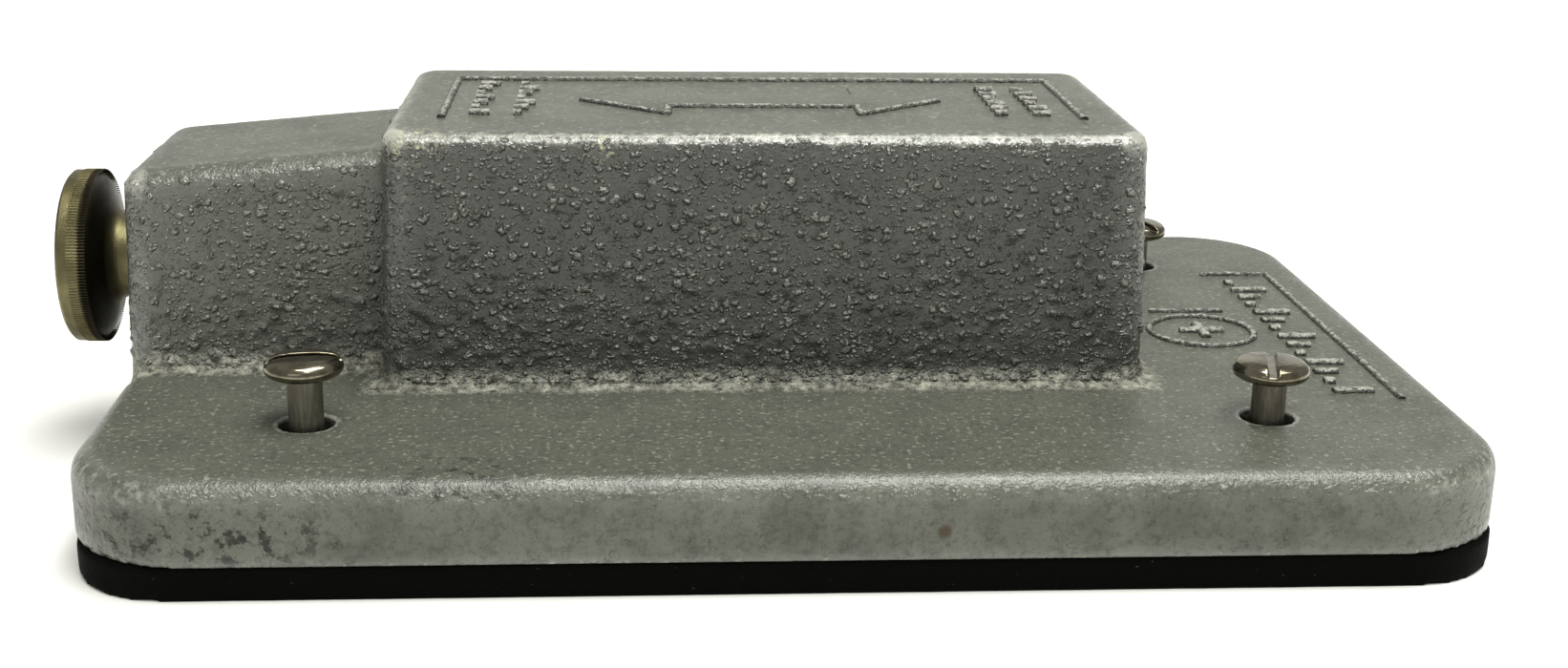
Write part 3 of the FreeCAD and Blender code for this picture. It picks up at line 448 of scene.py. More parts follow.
def screwNickel():
    # polished warm nickel on the head, matt and streaked down the shank
    material, tree, shader, vector = newMaterial("screwNickel")
    shank = attribute(tree, "shank")
    grain = grainOn(tree, vector, 0.0022, 0.0002)
    parts = axes(tree, vector)
    drawn = addNode(tree, "ShaderNodeCombineXYZ", {
        "X": parts["X"], "Y": parts["Y"], "Z": times(tree, parts["Z"], 0.12)}).outputs[0]
    streaks = noise(tree, drawn, 2200.0, 3.0, 0.6)
    head = mottled(tree, grain, 0.4, 0.65, (0.25, 0.23, 0.17, 1.0),
                   (0.12, 0.108, 0.075, 1.0))
    dull = mixColour(tree, remap(tree, streaks, 0.35, 0.65), (0.26, 0.25, 0.20, 1.0),
                     (0.15, 0.135, 0.11, 1.0))
    rough = remap(tree, grain["Mottle"], 0.35, 0.65, 0.13, 0.20)
    rough = plus(tree, rough, times(tree, shank, 0.28))
    height = times(tree, plus(tree, streaks, grain["Grit"]), plus(tree, shank, 0.15))
    feedAll(tree, shader, {"Base Color": mixColour(tree, shank, head, dull), "Metallic": 1.0,
                           "Roughness": rough, "Normal": bump(tree, height, 0.00003)})
    return material


def gasketRubber():
    # matt black sheet, with pale specks and a faint sawn texture on its cut edge
    material, tree, shader, vector = newMaterial("gasketRubber")
    grain = grainOn(tree, vector, 0.005, 0.0004)
    base = mottled(tree, grain, 0.4, 0.65, (0.0006, 0.0006, 0.0003, 1.0),
                   (0.0015, 0.0014, 0.0010, 1.0))
    specks = remap(tree, noise(tree, vector, 1500.0, 2.0, 0.5), 0.74, 0.78)
    base = coat(tree, base, specks, 0.5, (0.10, 0.10, 0.085, 1.0))
    rough = remap(tree, grain["Mottle"], 0.3, 0.7, 0.72, 0.88)
    feedAll(tree, shader, {"Base Color": base, "Specular IOR Level": 0.06, "Roughness": rough,
                           "Normal": bump(tree, grain["Grit"], 0.00012)})
    return material


def plainFinish(slot, one, two, metallic, roughness, turned=0.0, grit=0.0004, depth=0.00003):
    # a finish for small parts: two tones, grit, and lathe rings where turned
    first, *rest = slot.split("_")
    name = first + "".join(word.title() for word in rest)
    material, tree, shader, vector = newMaterial(name)
    grain = grainOn(tree, vector, 0.004, grit)
    base = mottled(tree, grain, 0.35, 0.65, (*one, 1.0), (*two, 1.0))
    rough = remap(tree, grain["Mottle"], 0.3, 0.7, roughness * 0.8, min(1.0, roughness * 1.2))
    height = grain["Grit"]
    if turned:
        rings = useGroup(tree, turnedGroup, {"Vector": vector, "Strength": turned})
        height = plus(tree, height, rings["Rings"])
    feedAll(tree, shader, {"Base Color": base, "Metallic": metallic, "Roughness": rough,
                           "Normal": bump(tree, height, depth)})
    return material


# two tones, metallic, roughness, then the strength of the rings, the grit's size and its depth
plainTones = {
    "grommet_rubber": ((0.02, 0.02, 0.02), (0.035, 0.034, 0.032), 0.0, 0.5),
    "sheet_steel": ((0.55, 0.55, 0.53), (0.46, 0.46, 0.43), 1.0, 0.35),
    "bearing_bronze": ((0.5, 0.31, 0.14), (0.4, 0.24, 0.1), 1.0, 0.3, 0.8),
    "seal_felt": ((0.3, 0.27, 0.2), (0.2, 0.18, 0.13), 0.0, 0.95, 0.0, 0.0003, 0.0002),
    "machined_steel": ((0.5, 0.5, 0.5), (0.42, 0.42, 0.41), 1.0, 0.28, 1.0),
    "plated_steel": ((0.58, 0.56, 0.52), (0.45, 0.43, 0.39), 1.0, 0.22),
    "black_steel": ((0.05, 0.05, 0.05), (0.03, 0.03, 0.03), 0.8, 0.4),
    "resistor_ceramic": ((0.62, 0.6, 0.54), (0.5, 0.48, 0.42), 0.0, 0.6),
    "resistance_wire": ((0.27, 0.25, 0.23), (0.2, 0.17, 0.15), 1.0, 0.4, 2.0, 0.0004, 0.0001),
    "insulator_mica": ((0.42, 0.36, 0.26), (0.34, 0.27, 0.18), 0.0, 0.4),
    "phenolic": ((0.09, 0.04, 0.02), (0.06, 0.025, 0.015), 0.0, 0.35),
    "terminal_brass": ((0.6, 0.43, 0.18), (0.5, 0.35, 0.14), 1.0, 0.3, 0.5),
    "brush_carbon": ((0.02, 0.02, 0.022), (0.035, 0.035, 0.036), 0.0, 0.45),
    "lead_insulation": ((0.16, 0.12, 0.07), (0.11, 0.08, 0.05), 0.0, 0.7, 0.0, 0.0002, 0.0001),
}

finishes = {slot: plainFinish(slot, *values) for slot, values in plainTones.items()}
finishes.update({"grey_paint": castPaint(), "raised_marks": markPaint(), "knob_brass": knobBrass(),
                 "screw_nickel": screwNickel(), "gasket_rubber": gasketRubber()})
print("finishes made:", len(finishes))


def paintNodes():
    slotOf = {entry["node"]: entry["material_slot"] for entry in frame["record"]["subparts"]}
    for name, node in nodes.items():
        node.data.materials.clear()
        node.data.materials.append(finishes[slotOf[name]])


paintNodes()


def workPiece(name, mesh):
    piece = bpy.data.objects.new(name, mesh)
    scene.collection.objects.link(piece)
    return piece


def linkPiece(name, mesh, body, replaced=()):
    piece = workPiece(name, mesh)
    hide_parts(*replaced)
    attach(piece, body)
    return piece


def meshOf(shape, name):
    mesh = bpy.data.meshes.new(name)
    shape.to_mesh(mesh)
    shape.free()
    return mesh


def bake(piece, name):
    # the piece with its modifiers applied, as a new plain mesh
    graph = bpy.context.evaluated_depsgraph_get()
    mesh = bpy.data.meshes.new_from_object(piece.evaluated_get(graph))
    mesh.name = name
    return mesh


def settle(piece, name):
    # the piece keeps what its modifiers made of it
    mesh = bake(piece, name)
    piece.modifiers.clear()
    piece.data = mesh


def weldedNode(name):
    # a copy of a frame node's mesh with its doubled points joined
    mesh = nodes[name].data.copy()
    welded = bmesh.new()
    welded.from_mesh(mesh)
    bmesh.ops.remove_doubles(welded, verts=welded.verts, dist=1e-6)
    welded.to_mesh(mesh)
    welded.free()
    return mesh


def addCells(piece, cell, soften=0):
    # evens the piece out into small cells, then softens them a few steps
    cells = piece.modifiers.new("cells", "REMESH")
    cells.mode = "VOXEL"
    cells.voxel_size = cell
    if soften:
        soft = piece.modifiers.new("soft", "SMOOTH")
        soft.factor = 0.5
        soft.iterations = soften


def thinned(piece, faces, name):
    # the piece's mesh with no more than so many triangles; the work piece goes
    total = sum(len(p.vertices) - 2 for p in piece.data.polygons)
    thin = piece.modifiers.new("thin", "DECIMATE")
    thin.ratio = min(1.0, faces / total)
    mesh = bake(piece, name)
    bpy.data.objects.remove(piece)
    print(name + ":", total, "triangles thinned to", len(mesh.polygons))
    return mesh


def smoothShade(mesh):
    mesh.polygons.foreach_set("use_smooth", [True] * len(mesh.polygons))
    mesh.update()


def pointPlaces(tree):
    return tree.nodes.new("GeometryNodeInputPosition").outputs[0]


def shifted(tree, geometry, offset):
    inputs = {"Geometry": geometry, "Offset": offset}
    return addNode(tree, "GeometryNodeSetPosition", inputs).outputs[0]


def named(tree, label):
    inputs = {"Name": label}
    return addNode(tree, "GeometryNodeInputNamedAttribute", inputs, data_type="FLOAT").outputs[0]


def newGrowth(name, inputs):
    # an empty geometry tree with named inputs
    tree = bpy.data.node_groups.new(name, "GeometryNodeTree")
    for label, kind, value in [("Geometry", "Geometry", None)] + inputs:
        socket = tree.interface.new_socket(label, in_out="INPUT", socket_type="NodeSocket" + kind)
        if value is not None:
            socket.default_value = value
    tree.interface.new_socket("Geometry", in_out="OUTPUT", socket_type="NodeSocketGeometry")
    put = tree.nodes.new("NodeGroupInput").outputs
    out = tree.nodes.new("NodeGroupOutput").inputs
    return tree, put, out


def finishTree(tree, geometry, finish, output):
    # every tree ends the same way: plain mesh, then its material
    solid = addNode(tree, "GeometryNodeRealizeInstances", {"Geometry": geometry}).outputs[0]
    done = addNode(tree, "GeometryNodeSetMaterial", {"Geometry": solid, "Material": finish})
    tree.links.new(done.outputs[0], output)


# housing casting: the frame's shape, softened and roughened as sand casting leaves it

def remeshedCasting():
    piece = workPiece("castingSource", weldedNode("housing_casting"))
    addCells(piece, casting["cell"])
    mesh = bake(piece, "castingCells")
    bpy.data.objects.remove(piece)
    return mesh


def outsideWalls(at):
    # distance across the floor plan from each point to the block and nose, negative inside
    left, right = casting["blockEnds"]
    side = np.abs(at[:, 1] - casting["axisY"])
    block = np.maximum(np.maximum(left - at[:, 0], at[:, 0] - right), side - casting["blockHalf"])
    nose = np.maximum(at[:, 0] - left, side - casting["noseHalf"])
    return np.minimum(block, nose)


def readPoints(mesh):
    at = np.empty(len(mesh.vertices) * 3, np.float32)
    mesh.vertices.foreach_get("co", at)
    return at.reshape(-1, 3)


def pressMarks(mesh):
    # the raised marks are made apart, so the cells are pressed flat where they stand
    at = readPoints(mesh)
    roof, flange = casting["roofTop"], casting["flangeTop"]
    at[:, 2] = np.minimum(at[:, 2], roof)
    low = (outsideWalls(at) > 0.0012) & (at[:, 2] < flange + 0.0007)
    at[low, 2] = np.minimum(at[low, 2], flange)
    mesh.vertices.foreach_set("co", at.ravel())
    mesh.update()


def markZones(mesh):
    # per-point masks: the outer skin, its upright walls, and the foot of the walls
    at = readPoints(mesh)
    facing = np.empty(len(at) * 3, np.float32)
    mesh.vertex_normals.foreach_get("vector", facing)
    facing = facing.reshape(-1, 3)
    low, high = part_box("housing_casting")
    outside = outsideWalls(at)
    above = at[:, 2] - casting["flangeTop"]
    away = np.maximum(np.abs(outside), np.abs(above))
    near = np.clip(1.0 - away / casting["footReach"], 0.0, 1.0)
    skin = (outside > -0.0030) | (at[:, 2] > high.z - 0.0035) | (at[:, 0] < low.x + 0.004)
    left = casting["blockEnds"][0]
    outer, inner = casting["noseRise"]
    roof = casting["flangeTop"] + outer + (at[:, 0] - low.x) * (inner - outer) / (left - low.x)
    skin |= (at[:, 0] < left) & (at[:, 2] > roof - 0.003)
    skin &= at[:, 2] > low.z + 0.0006
    wall = np.clip((0.75 - facing[:, 2]) / 0.3, 0.0, 1.0)
    block = wall * (above > 0.0004)
    side = wall * (above <= 0.0004)
    masks = {"skin": skin, "wall": block * skin, "side": side * skin, "footZone": near * skin}
    for label, values in masks.items():
        layer = mesh.attributes.new(label, "FLOAT", "POINT")
        layer.data.foreach_set("value", values.astype(np.float32))


def castSkinTree():
    tree, put, out = newGrowth("castSkin", [
        ("Soften Steps", "Int", 1), ("Foot Steps", "Int", 30), ("Edge Steps", "Int", 8),
        ("Edge Full", "Float", 0.0002), ("Wave Size", "Float", 0.003),
        ("Wave Depth", "Float", 0.0002), ("Lump Size", "Float", 0.0016),
        ("Lump Depth", "Float", 0.0006), ("Finish", "Material", None)])

    def blurred(steps, weight=1.0):
        inputs = {"Iterations": steps, "Weight": weight}
        node = addNode(tree, "GeometryNodeBlurAttribute", inputs, data_type="FLOAT_VECTOR")
        value = next(s for s in node.inputs if s.name == "Value" and s.enabled)
        feed(tree, value, pointPlaces(tree))
        return next(s for s in node.outputs if s.enabled)

    def moved(geometry, position):
        return addNode(tree, "GeometryNodeSetPosition",
                       {"Geometry": geometry, "Position": position}).outputs[0]

    def stored(geometry, label, value):
        return addNode(tree, "GeometryNodeStoreNamedAttribute",
                       {"Geometry": geometry, "Name": label, "Value": value},
                       data_type="FLOAT", domain="POINT").outputs[0]

    geometry = moved(put["Geometry"], blurred(put["Soften Steps"]))
    geometry = moved(geometry, blurred(put["Foot Steps"], named(tree, "footZone")))
    # how far each point stands out of its surroundings
    gap = vectorMath(tree, "SUBTRACT", pointPlaces(tree), blurred(put["Edge Steps"]))
    normal = tree.nodes.new("GeometryNodeInputNormal").outputs[0]
    stand = vectorMath(tree, "DOT_PRODUCT", gap, normal, 1)
    share = over(tree, stand, put["Edge Full"])
    geometry = stored(geometry, "edge", calc(tree, "MAXIMUM", share, 0.0, True))
    sunk = times(tree, share, -1.0)
    geometry = stored(geometry, "hollow", calc(tree, "MAXIMUM", sunk, 0.0, True))
    # broad waves everywhere, and blisters on the upright walls, closer together towards their foot
    scale = over(tree, 1.0, put["Wave Size"])
    waves = addNode(tree, "ShaderNodeTexNoise", {"Scale": scale, "Detail": 2.0}).outputs[0]
    position = pointPlaces(tree)
    tall = axes(tree, position)["Z"]
    cover = remap(tree, tall, 0.016, 0.046, 0.80, 0.30)
    lumps = blisterField(tree, position, put["Lump Size"], cover)
    rough = plus(tree, times(tree, named(tree, "wall"), 0.7), 0.3)
    waves = times(tree, minus(tree, waves, 0.5), put["Wave Depth"])
    lumps = times(tree, lumps, put["Lump Depth"])
    lift = plus(tree, times(tree, waves, rough), times(tree, lumps, named(tree, "wall")))
    lift = times(tree, times(tree, lift, 2.0), named(tree, "skin"))
    geometry = shifted(tree, geometry, vectorMath(tree, "SCALE", normal, lift))
    finishTree(tree, geometry, put["Finish"], out["Geometry"])
    return tree


def setInput(modifier, label, value):
    socket = next(s for s in modifier.node_group.interface.items_tree
                  if s.item_type == "SOCKET" and s.in_out == "INPUT" and s.name == label)
    modifier[socket.identifier] = value


def grow(piece, tree, values, name):
    # runs a tree on the piece, then takes the modifier off again
    modifier = piece.modifiers.new("grow", "NODES")
    modifier.node_group = tree
    for label, value in values.items():
        setInput(modifier, label, value)
    mesh = bake(piece, name)
    piece.modifiers.clear()
    return mesh


def makeCasting():
    cells = remeshedCasting()
    pressMarks(cells)
    markZones(cells)
    piece = workPiece("castingWork", cells)
    values = {**casting["growth"], "Finish": finishes["grey_paint"]}
    piece.data = grow(piece, castSkinTree(), values, "castingSkin")
    mesh = thinned(piece, casting["faces"], "castHousing")
    smoothShade(mesh)
    return linkPiece("castHousing", mesh, "housing", ["housing_casting"])


makeCasting()


# raised marks on the roof and flange: rounded ridges along plain lines, and a raised arrow

marks = {
    "sunk": 0.0001,
    "lineThick": 0.0014,
    "barThick": 0.0019,
    "step": 0.0004,
    "jitter": 0.00018,
    "seed": 3.0,
    "borderInset": 0.0072,
    "borderRear": 0.0104,
    "borderReach": 0.0305,
    "leftBars": {"offset": (0.0034, 0.0025), "pitch": (0.0058, 0.0036), "rows": 7,
                 "lengths": (0.0046, 0.0030, 0.0038)},
    "rightBars": {"offset": (0.0134, 0.0120), "pitch": (0.0052, 0.0036), "rows": 6,
                  "lengths": (0.0036, 0.0044, 0.0044)},
    "arrow": {"length": 0.0503, "head": 0.0120, "headHalf": 0.0100, "shaftHalf": 0.0046,
              "shift": 0.0013, "rise": 0.00028, "round": 0.0002},
    "frameInset": 0.0063,
    "frameEnd": 0.0274,
    "frameReturn": 0.0122,
    "ringInset": 0.0260,
    "ringRadius": 0.0083,
    "cross": 0.0042,
    "overRing": (0.0060, 0.0068),
    "flangeBars": {"count": 14, "margin": 0.0030, "span": (0.0100, 0.0026),
                   "parts": (1.0, 0.45, 0.72)},
}


def barLine(x0, x1, y0, y1, level, thick):
    # centre line of a bar, drawn in by half its thickness so that the round ends stay inside
    if abs(x1 - x0) > abs(y1 - y0):
        mid = (y0 + y1) / 2
        return [(x0 + thick / 2, mid, level), (x1 - thick / 2, mid, level)], thick
    mid = (x0 + x1) / 2
    return [(mid, y0 + thick / 2, level), (mid, y1 - thick / 2, level)], thick


def arrowOutline():
    # counter-clockwise from the right tip, the rear side first
    arrow = marks["arrow"]
    tip = arrow["length"] / 2
    neck = tip - arrow["head"]
    half = [(tip, 0.0), (neck, arrow["headHalf"]), (neck, arrow["shaftHalf"])]
    upper = half + [(-x, y) for x, y in reversed(half)]
    midX = sum(casting["blockEnds"]) / 2
    midY = casting["axisY"] - arrow["shift"]
    return [(midX + x, midY + y) for x, y in upper + [(-x, -y) for x, y in upper[1:-1]]]


def roofLines():
    line, bar = marks["lineThick"], marks["barThick"]
    level = casting["roofTop"]
    left = casting["blockEnds"][0] + marks["borderInset"]
    right = casting["blockEnds"][1] - marks["borderInset"]
    rear = casting["axisY"] + casting["blockHalf"] - marks["borderRear"]
    front = rear - marks["borderReach"]
    lines = [barLine(left, left + line, front, rear, level, line),
             barLine(right - line, right, front, rear, level, line),
             barLine(left, right, rear - line, rear, level, line)]
    near = arrowOutline()[5:] + arrowOutline()[:1]
    lines.append(([(x, y, level) for x, y in near], line))
    corners = {"leftBars": (left, front, 1), "rightBars": (right, casting["axisY"], -1)}
    for column in range(2):
        for side, (fromX, fromY, away) in corners.items():
            bars = marks[side]
            x = fromX + away * bars["offset"][0] + column * bars["pitch"][0]
            for row in range(bars["rows"]):
                y = fromY + away * bars["offset"][1] + row * bars["pitch"][1]
                length = bars["lengths"][(row + column) % 3]
                lines.append(barLine(x, x + length, y, y + bar, level, bar))
    return lines


def flangeLines():
    line, bar = marks["lineThick"], marks["barThick"]
    level = casting["flangeTop"]
    low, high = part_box("housing_casting")
    frameX = high.x - marks["frameInset"]
    frameY = high.y - marks["frameEnd"]
    lines = [barLine(frameX - line, frameX, -frameY, frameY, level, line),
             barLine(frameX - marks["frameReturn"], frameX, frameY - line, frameY, level, line)]
    ringX = high.x - marks["ringInset"]
    cross, half = marks["cross"], bar / 2
    lines.append(barLine(ringX - cross, ringX + cross, -half, half, level, bar))
    lines.append(barLine(ringX - half, ringX + half, -cross, cross, level, bar))
    over = marks["ringRadius"] + line
    lines.append(barLine(ringX - marks["overRing"][0], ringX + marks["overRing"][1],
                         over, over + line, level, line))
    bars = marks["flangeBars"]
    pitch = 2 * (frameY - bars["margin"]) / bars["count"]
    start = frameX - bars["span"][0]
    for i in range(bars["count"]):
        y = -frameY + bars["margin"] + i * pitch
        length = (bars["span"][0] - bars["span"][1]) * bars["parts"][i % 3]
        lines.append(barLine(start, start + length, y, y + bar, level, bar))
    radius = marks["ringRadius"] - line / 2
    turn = [math.tau * i / 48 for i in range(49)]
    ring = [(ringX + radius * math.cos(a), radius * math.sin(a), level) for a in turn]
    lines.append((ring, line))
    return lines


def castRidgeTree():
    tree, put, out = newGrowth("castRidge", [
        ("Step", "Float", 0.0004), ("Jitter", "Float", 0.0001), ("Sunk", "Float", 0.0001),
        ("Seed", "Float", 3.0), ("Finish", "Material", None)])
    curve = addNode(tree, "GeometryNodeMeshToCurve", {0: put["Geometry"]}).outputs[0]
    curve = addNode(tree, "GeometryNodeResampleCurve", {"Curve": curve, "Length": put["Step"]},
                    mode="LENGTH").outputs[0]
    inputs = {"Vector": pointPlaces(tree), "W": put["Seed"], "Scale": 1100.0, "Detail": 2.0}
    waver = addNode(tree, "ShaderNodeTexNoise", inputs, noise_dimensions="4D").outputs
    shake = vectorMath(tree, "SUBTRACT", waver[1], (0.5, 0.5, 0.5))
    shake = vectorMath(tree, "MULTIPLY", shake, (2.0, 2.0, 0.0))
    shake = vectorMath(tree, "SCALE", shake, put["Jitter"])
    drop = addNode(tree, "ShaderNodeCombineXYZ", {"Z": times(tree, put["Sunk"], -1.0)})
    shake = vectorMath(tree, "ADD", shake, drop.outputs[0])
    curve = shifted(tree, curve, shake)
    swell = remap(tree, waver[0], 0.3, 0.7, 0.74, 1.0)
    radius = times(tree, times(tree, named(tree, "thick"), 0.5), swell)
    profile = addNode(tree, "GeometryNodeCurvePrimitiveCircle", {"Resolution": 10, "Radius": 1.0})
    tube = addNode(tree, "GeometryNodeCurveToMesh", {
        "Curve": curve, "Profile Curve": profile.outputs[0], "Scale": radius,
        "Fill Caps": True}).outputs[0]
    finishTree(tree, tube, put["Finish"], out["Geometry"])
    return tree


def makeMarks():
    lines = roofLines() + flangeLines()
    points, edges, thick = [], [], []
    for path, size in lines:
        first = len(points)
        points += path
        thick += [size] * len(path)
        edges += [(first + i, first + i + 1) for i in range(len(path) - 1)]
    mesh = bpy.data.meshes.new("markLines")
    mesh.from_pydata(points, edges, [])
    mesh.attributes.new("thick", "FLOAT", "POINT").data.foreach_set("value", thick)
    piece = workPiece("markLines", mesh)
    ridges = grow(piece, castRidgeTree(), {"Step": marks["step"], "Jitter": marks["jitter"],
                                           "Sunk": marks["sunk"], "Seed": marks["seed"],
                                           "Finish": finishes["raised_marks"]}, "castMarks")
    bpy.data.objects.remove(piece)
    smoothShade(ridges)
    print("raised marks:", len(lines), "lines,", len(ridges.polygons), "faces")
    return linkPiece("castMarks", ridges, "housing")


def makeArrow():
    arrow = marks["arrow"]
    shape = bmesh.new()
    low = [shape.verts.new((x, y, casting["roofTop"] - 0.0004)) for x, y in arrowOutline()]
    base = shape.faces.new(low)
    raised = bmesh.ops.extrude_face_region(shape, geom=[base])["geom"]
    for point in raised:
        if isinstance(point, bmesh.types.BMVert):
            point.co.z = casting["roofTop"] + arrow["rise"]
    bmesh.ops.recalc_face_normals(shape, faces=shape.faces)
    rim = [e for e in shape.edges if all(v.co.z > casting["roofTop"] for v in e.verts)]
    bmesh.ops.bevel(shape, geom=rim, offset=arrow["round"], segments=3, affect="EDGES",
                    profile=0.5)
    mesh = meshOf(shape, "castArrow")
    mesh.materials.append(finishes["grey_paint"])
    smoothShade(mesh)
    return linkPiece("castArrow", mesh, "housing")


makeMarks()
makeArrow()


def lathe(outline, steps, place=(0.0, 0.0, 0.0), along="X"):
    # closed turned shape: outline points are (along the axis, radius), ends on the axis
    shape = bmesh.new()
    rings = []
    for reach, radius in outline:
        if radius < 1e-7:
            rings.append([shape.verts.new((reach, 0.0, 0.0))])
            continue
        turn = [math.tau * i / steps for i in range(steps)]
        ring = [(reach, radius * math.cos(a), radius * math.sin(a)) for a in turn]
        rings.append([shape.verts.new(point) for point in ring])
    for near, far in zip(rings, rings[1:]):
        for i in range(steps):
            j = (i + 1) % steps
            loop = [near[i % len(near)], near[j % len(near)], far[j % len(far)], far[i % len(far)]]
            shape.faces.new(list(dict.fromkeys(loop)))
    bmesh.ops.recalc_face_normals(shape, faces=shape.faces)
    if along == "Z":
        upright = Matrix.Rotation(math.radians(-90), 4, "Y")
        bmesh.ops.transform(shape, matrix=upright, verts=shape.verts)
    bmesh.ops.translate(shape, vec=place, verts=shape.verts)
    return meshOf(shape, "turned")


def roundTo(points, corners, steps=4):
    # swaps each named corner of an outline for a short arc of the given reach
    out = []
    for i, point in enumerate(points):
        reach = corners.get(i)
        if not reach:
            out.append(point)
            continue
        here = Vector(point)
        back = here + (Vector(points[i - 1]) - here).normalized() * reach
        ahead = here + (Vector(points[i + 1]) - here).normalized() * reach
        for k in range(steps + 1):
            t = k / steps
            out.append(tuple(back * (1 - t) ** 2 + here * 2 * t * (1 - t) + ahead * t ** 2))
    return out


# knob: turned brass with a fine straight knurl round the rim

knob = {
    "rim": 0.0032,
    "neck": 0.00585,
    "flare": 0.0025,
    "ridges": 180,
    "ridgeRise": 0.00011,
    "dish": 0.0006,
    "steps": 128,
}


def knurlTree():
    tree, put, out = newGrowth("knurl", [
        ("Ridges", "Int", 180), ("Radius", "Float", 0.012), ("Rise", "Float", 0.0001),
        ("Rim", "Float", 0.003), ("Place", "Vector", None), ("Finish", "Material", None)])
    circle = addNode(tree, "GeometryNodeMeshCircle", {"Vertices": put["Ridges"],
                                                      "Radius": put["Radius"]}).outputs[0]
    inputs = {"Vertices": 6, "Radius Top": put["Rise"], "Radius Bottom": put["Rise"],
              "Depth": put["Rim"]}
    rib = addNode(tree, "GeometryNodeMeshCone", inputs, fill_type="NGON").outputs[0]
    index = tree.nodes.new("GeometryNodeInputIndex").outputs[0]
    angle = times(tree, over(tree, index, put["Ridges"]), math.tau)
    turn = addNode(tree, "ShaderNodeCombineXYZ", {"Z": angle}).outputs[0]
    inputs = {"Points": circle, "Instance": rib, "Rotation": turn}
    ribs = addNode(tree, "GeometryNodeInstanceOnPoints", inputs).outputs[0]
    inputs = {"Geometry": ribs, "Rotation": (0.0, math.pi / 2, 0.0), "Translation": put["Place"]}
    ribs = addNode(tree, "GeometryNodeTransform", inputs).outputs[0]
    joined = addNode(tree, "GeometryNodeJoinGeometry")
    tree.links.new(put["Geometry"], joined.inputs[0])
    tree.links.new(ribs, joined.inputs[0])
    finishTree(tree, joined.outputs[0], put["Finish"], out["Geometry"])
    return tree


def makeKnob():
    low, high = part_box("knob")
    face, back = low.x, high.x
    radius = (high.z - low.z) / 2 - knob["ridgeRise"]
    heel = face + knob["rim"]
    neck, flare = knob["neck"], knob["flare"]
    outline = [(face + knob["dish"], 0.0), (face + knob["dish"], radius * 0.62),
               (face, radius * 0.70), (face, radius - 0.0004), (face + 0.0004, radius),
               (heel - 0.0003, radius), (heel, radius - 0.0003), (heel + 0.0006, radius - 0.0007),
               (heel + 0.0012, radius - 0.0016), (heel + 0.0017, radius - 0.0027),
               (heel + flare - 0.0003, neck + 0.0021), (heel + flare + 0.0001, neck + 0.0008),
               (heel + flare + 0.0008, neck + 0.0002), (heel + flare + 0.0014, neck),
               (back - 0.0002, neck), (back, neck - 0.0002), (back, 0.0)]
    outline = roundTo(outline, {1: 0.0006, 2: 0.0004})
    mesh = lathe(outline, knob["steps"], (0.0, (low.y + high.y) / 2, (low.z + high.z) / 2))
    piece = workPiece("knobTurned", mesh)
    middle = (face + knob["rim"] / 2, (low.y + high.y) / 2, (low.z + high.z) / 2)
    values = {"Ridges": knob["ridges"], "Radius": radius, "Rise": knob["ridgeRise"],
              "Rim": knob["rim"] - 0.0007, "Place": middle, "Finish": finishes["knob_brass"]}
    body = grow(piece, knurlTree(), values, "knurledKnob")
    bpy.data.objects.remove(piece)
    smoothByAngle(body, 40.0)
    print("knob:", len(body.polygons), "faces")
    return linkPiece("knurledKnob", body, "knob_spindle", ["knob"])


def smoothByAngle(mesh, degrees):
    # smooth, but for the edges that turn by more than so many degrees
    smoothShade(mesh)
    limit = math.cos(math.radians(degrees))
    shape = bmesh.new()
    shape.from_mesh(mesh)
    for edge in shape.edges:
        faces = edge.link_faces
        edge.smooth = len(faces) == 2 and faces[0].normal.dot(faces[1].normal) > limit
    shape.to_mesh(mesh)
    shape.free()
    mesh.update()


makeKnob()


# mounting screws: one slotted pan head screw, placed in each hole by its slot's turn

screws = {
    "head": 0.0099,
    "headRise": 0.0027,
    "shank": 0.0044,
    "length": 0.0198,
    "slotWidth": 0.0013,
    "slotDepth": 0.0013,
    "cell": 0.00014,
    "soften": 3,
    "faces": 16000,
    "steps": 96,
    "turns": {"front_left": 8.0, "front_right": 76.0, "rear_left": 40.0, "rear_right": 120.0},
}


def baseScrew():
    r, shank = screws["head"] / 2, screws["shank"] / 2
    seat = screws["length"]
    crown = seat + screws["headRise"]
    outline = [(0.0, 0.0), (0.0, shank - 0.0006), (0.0006, shank), (seat - 0.0003, shank),
               (seat, shank + 0.0003), (seat, r - 0.0011), (seat + 0.00015, r - 0.0005),
               (seat + 0.0005, r - 0.0001), (seat + 0.0010, r), (seat + 0.0015, r - 0.0001),
               (seat + 0.0020, r - 0.0005), (seat + 0.0023, r - 0.0011),
               (seat + 0.0025, r - 0.0019), (crown - 0.00008, r - 0.0030), (crown, 0.0)]
    piece = workPiece("screwBase", lathe(outline, screws["steps"], along="Z"))
    cutter = bmesh.new()
    size = (screws["head"] * 1.5, screws["slotWidth"], screws["slotDepth"] * 2)
    bmesh.ops.create_cube(cutter, size=1.0)
    place = Matrix.Translation((0, 0, crown)) @ Matrix.Diagonal((*size, 1.0))
    bmesh.ops.transform(cutter, matrix=place, verts=cutter.verts)
    cut = workPiece("slotCut", meshOf(cutter, "slotCut"))
    carve = piece.modifiers.new("slot", "BOOLEAN")
    carve.object = cut
    carve.operation = "DIFFERENCE"
    addCells(piece, screws["cell"] * (1.0), screws["soften"])
    settle(piece, "screwCells")
    mesh = thinned(piece, screws["faces"], "screwBase")
    bpy.data.objects.remove(cut)
    at = readPoints(mesh)
    shank = (at[:, 2] < screws["length"] - 0.0002).astype(np.float32)
    mesh.attributes.new("shank", "FLOAT", "POINT").data.foreach_set("value", shank)
    return mesh


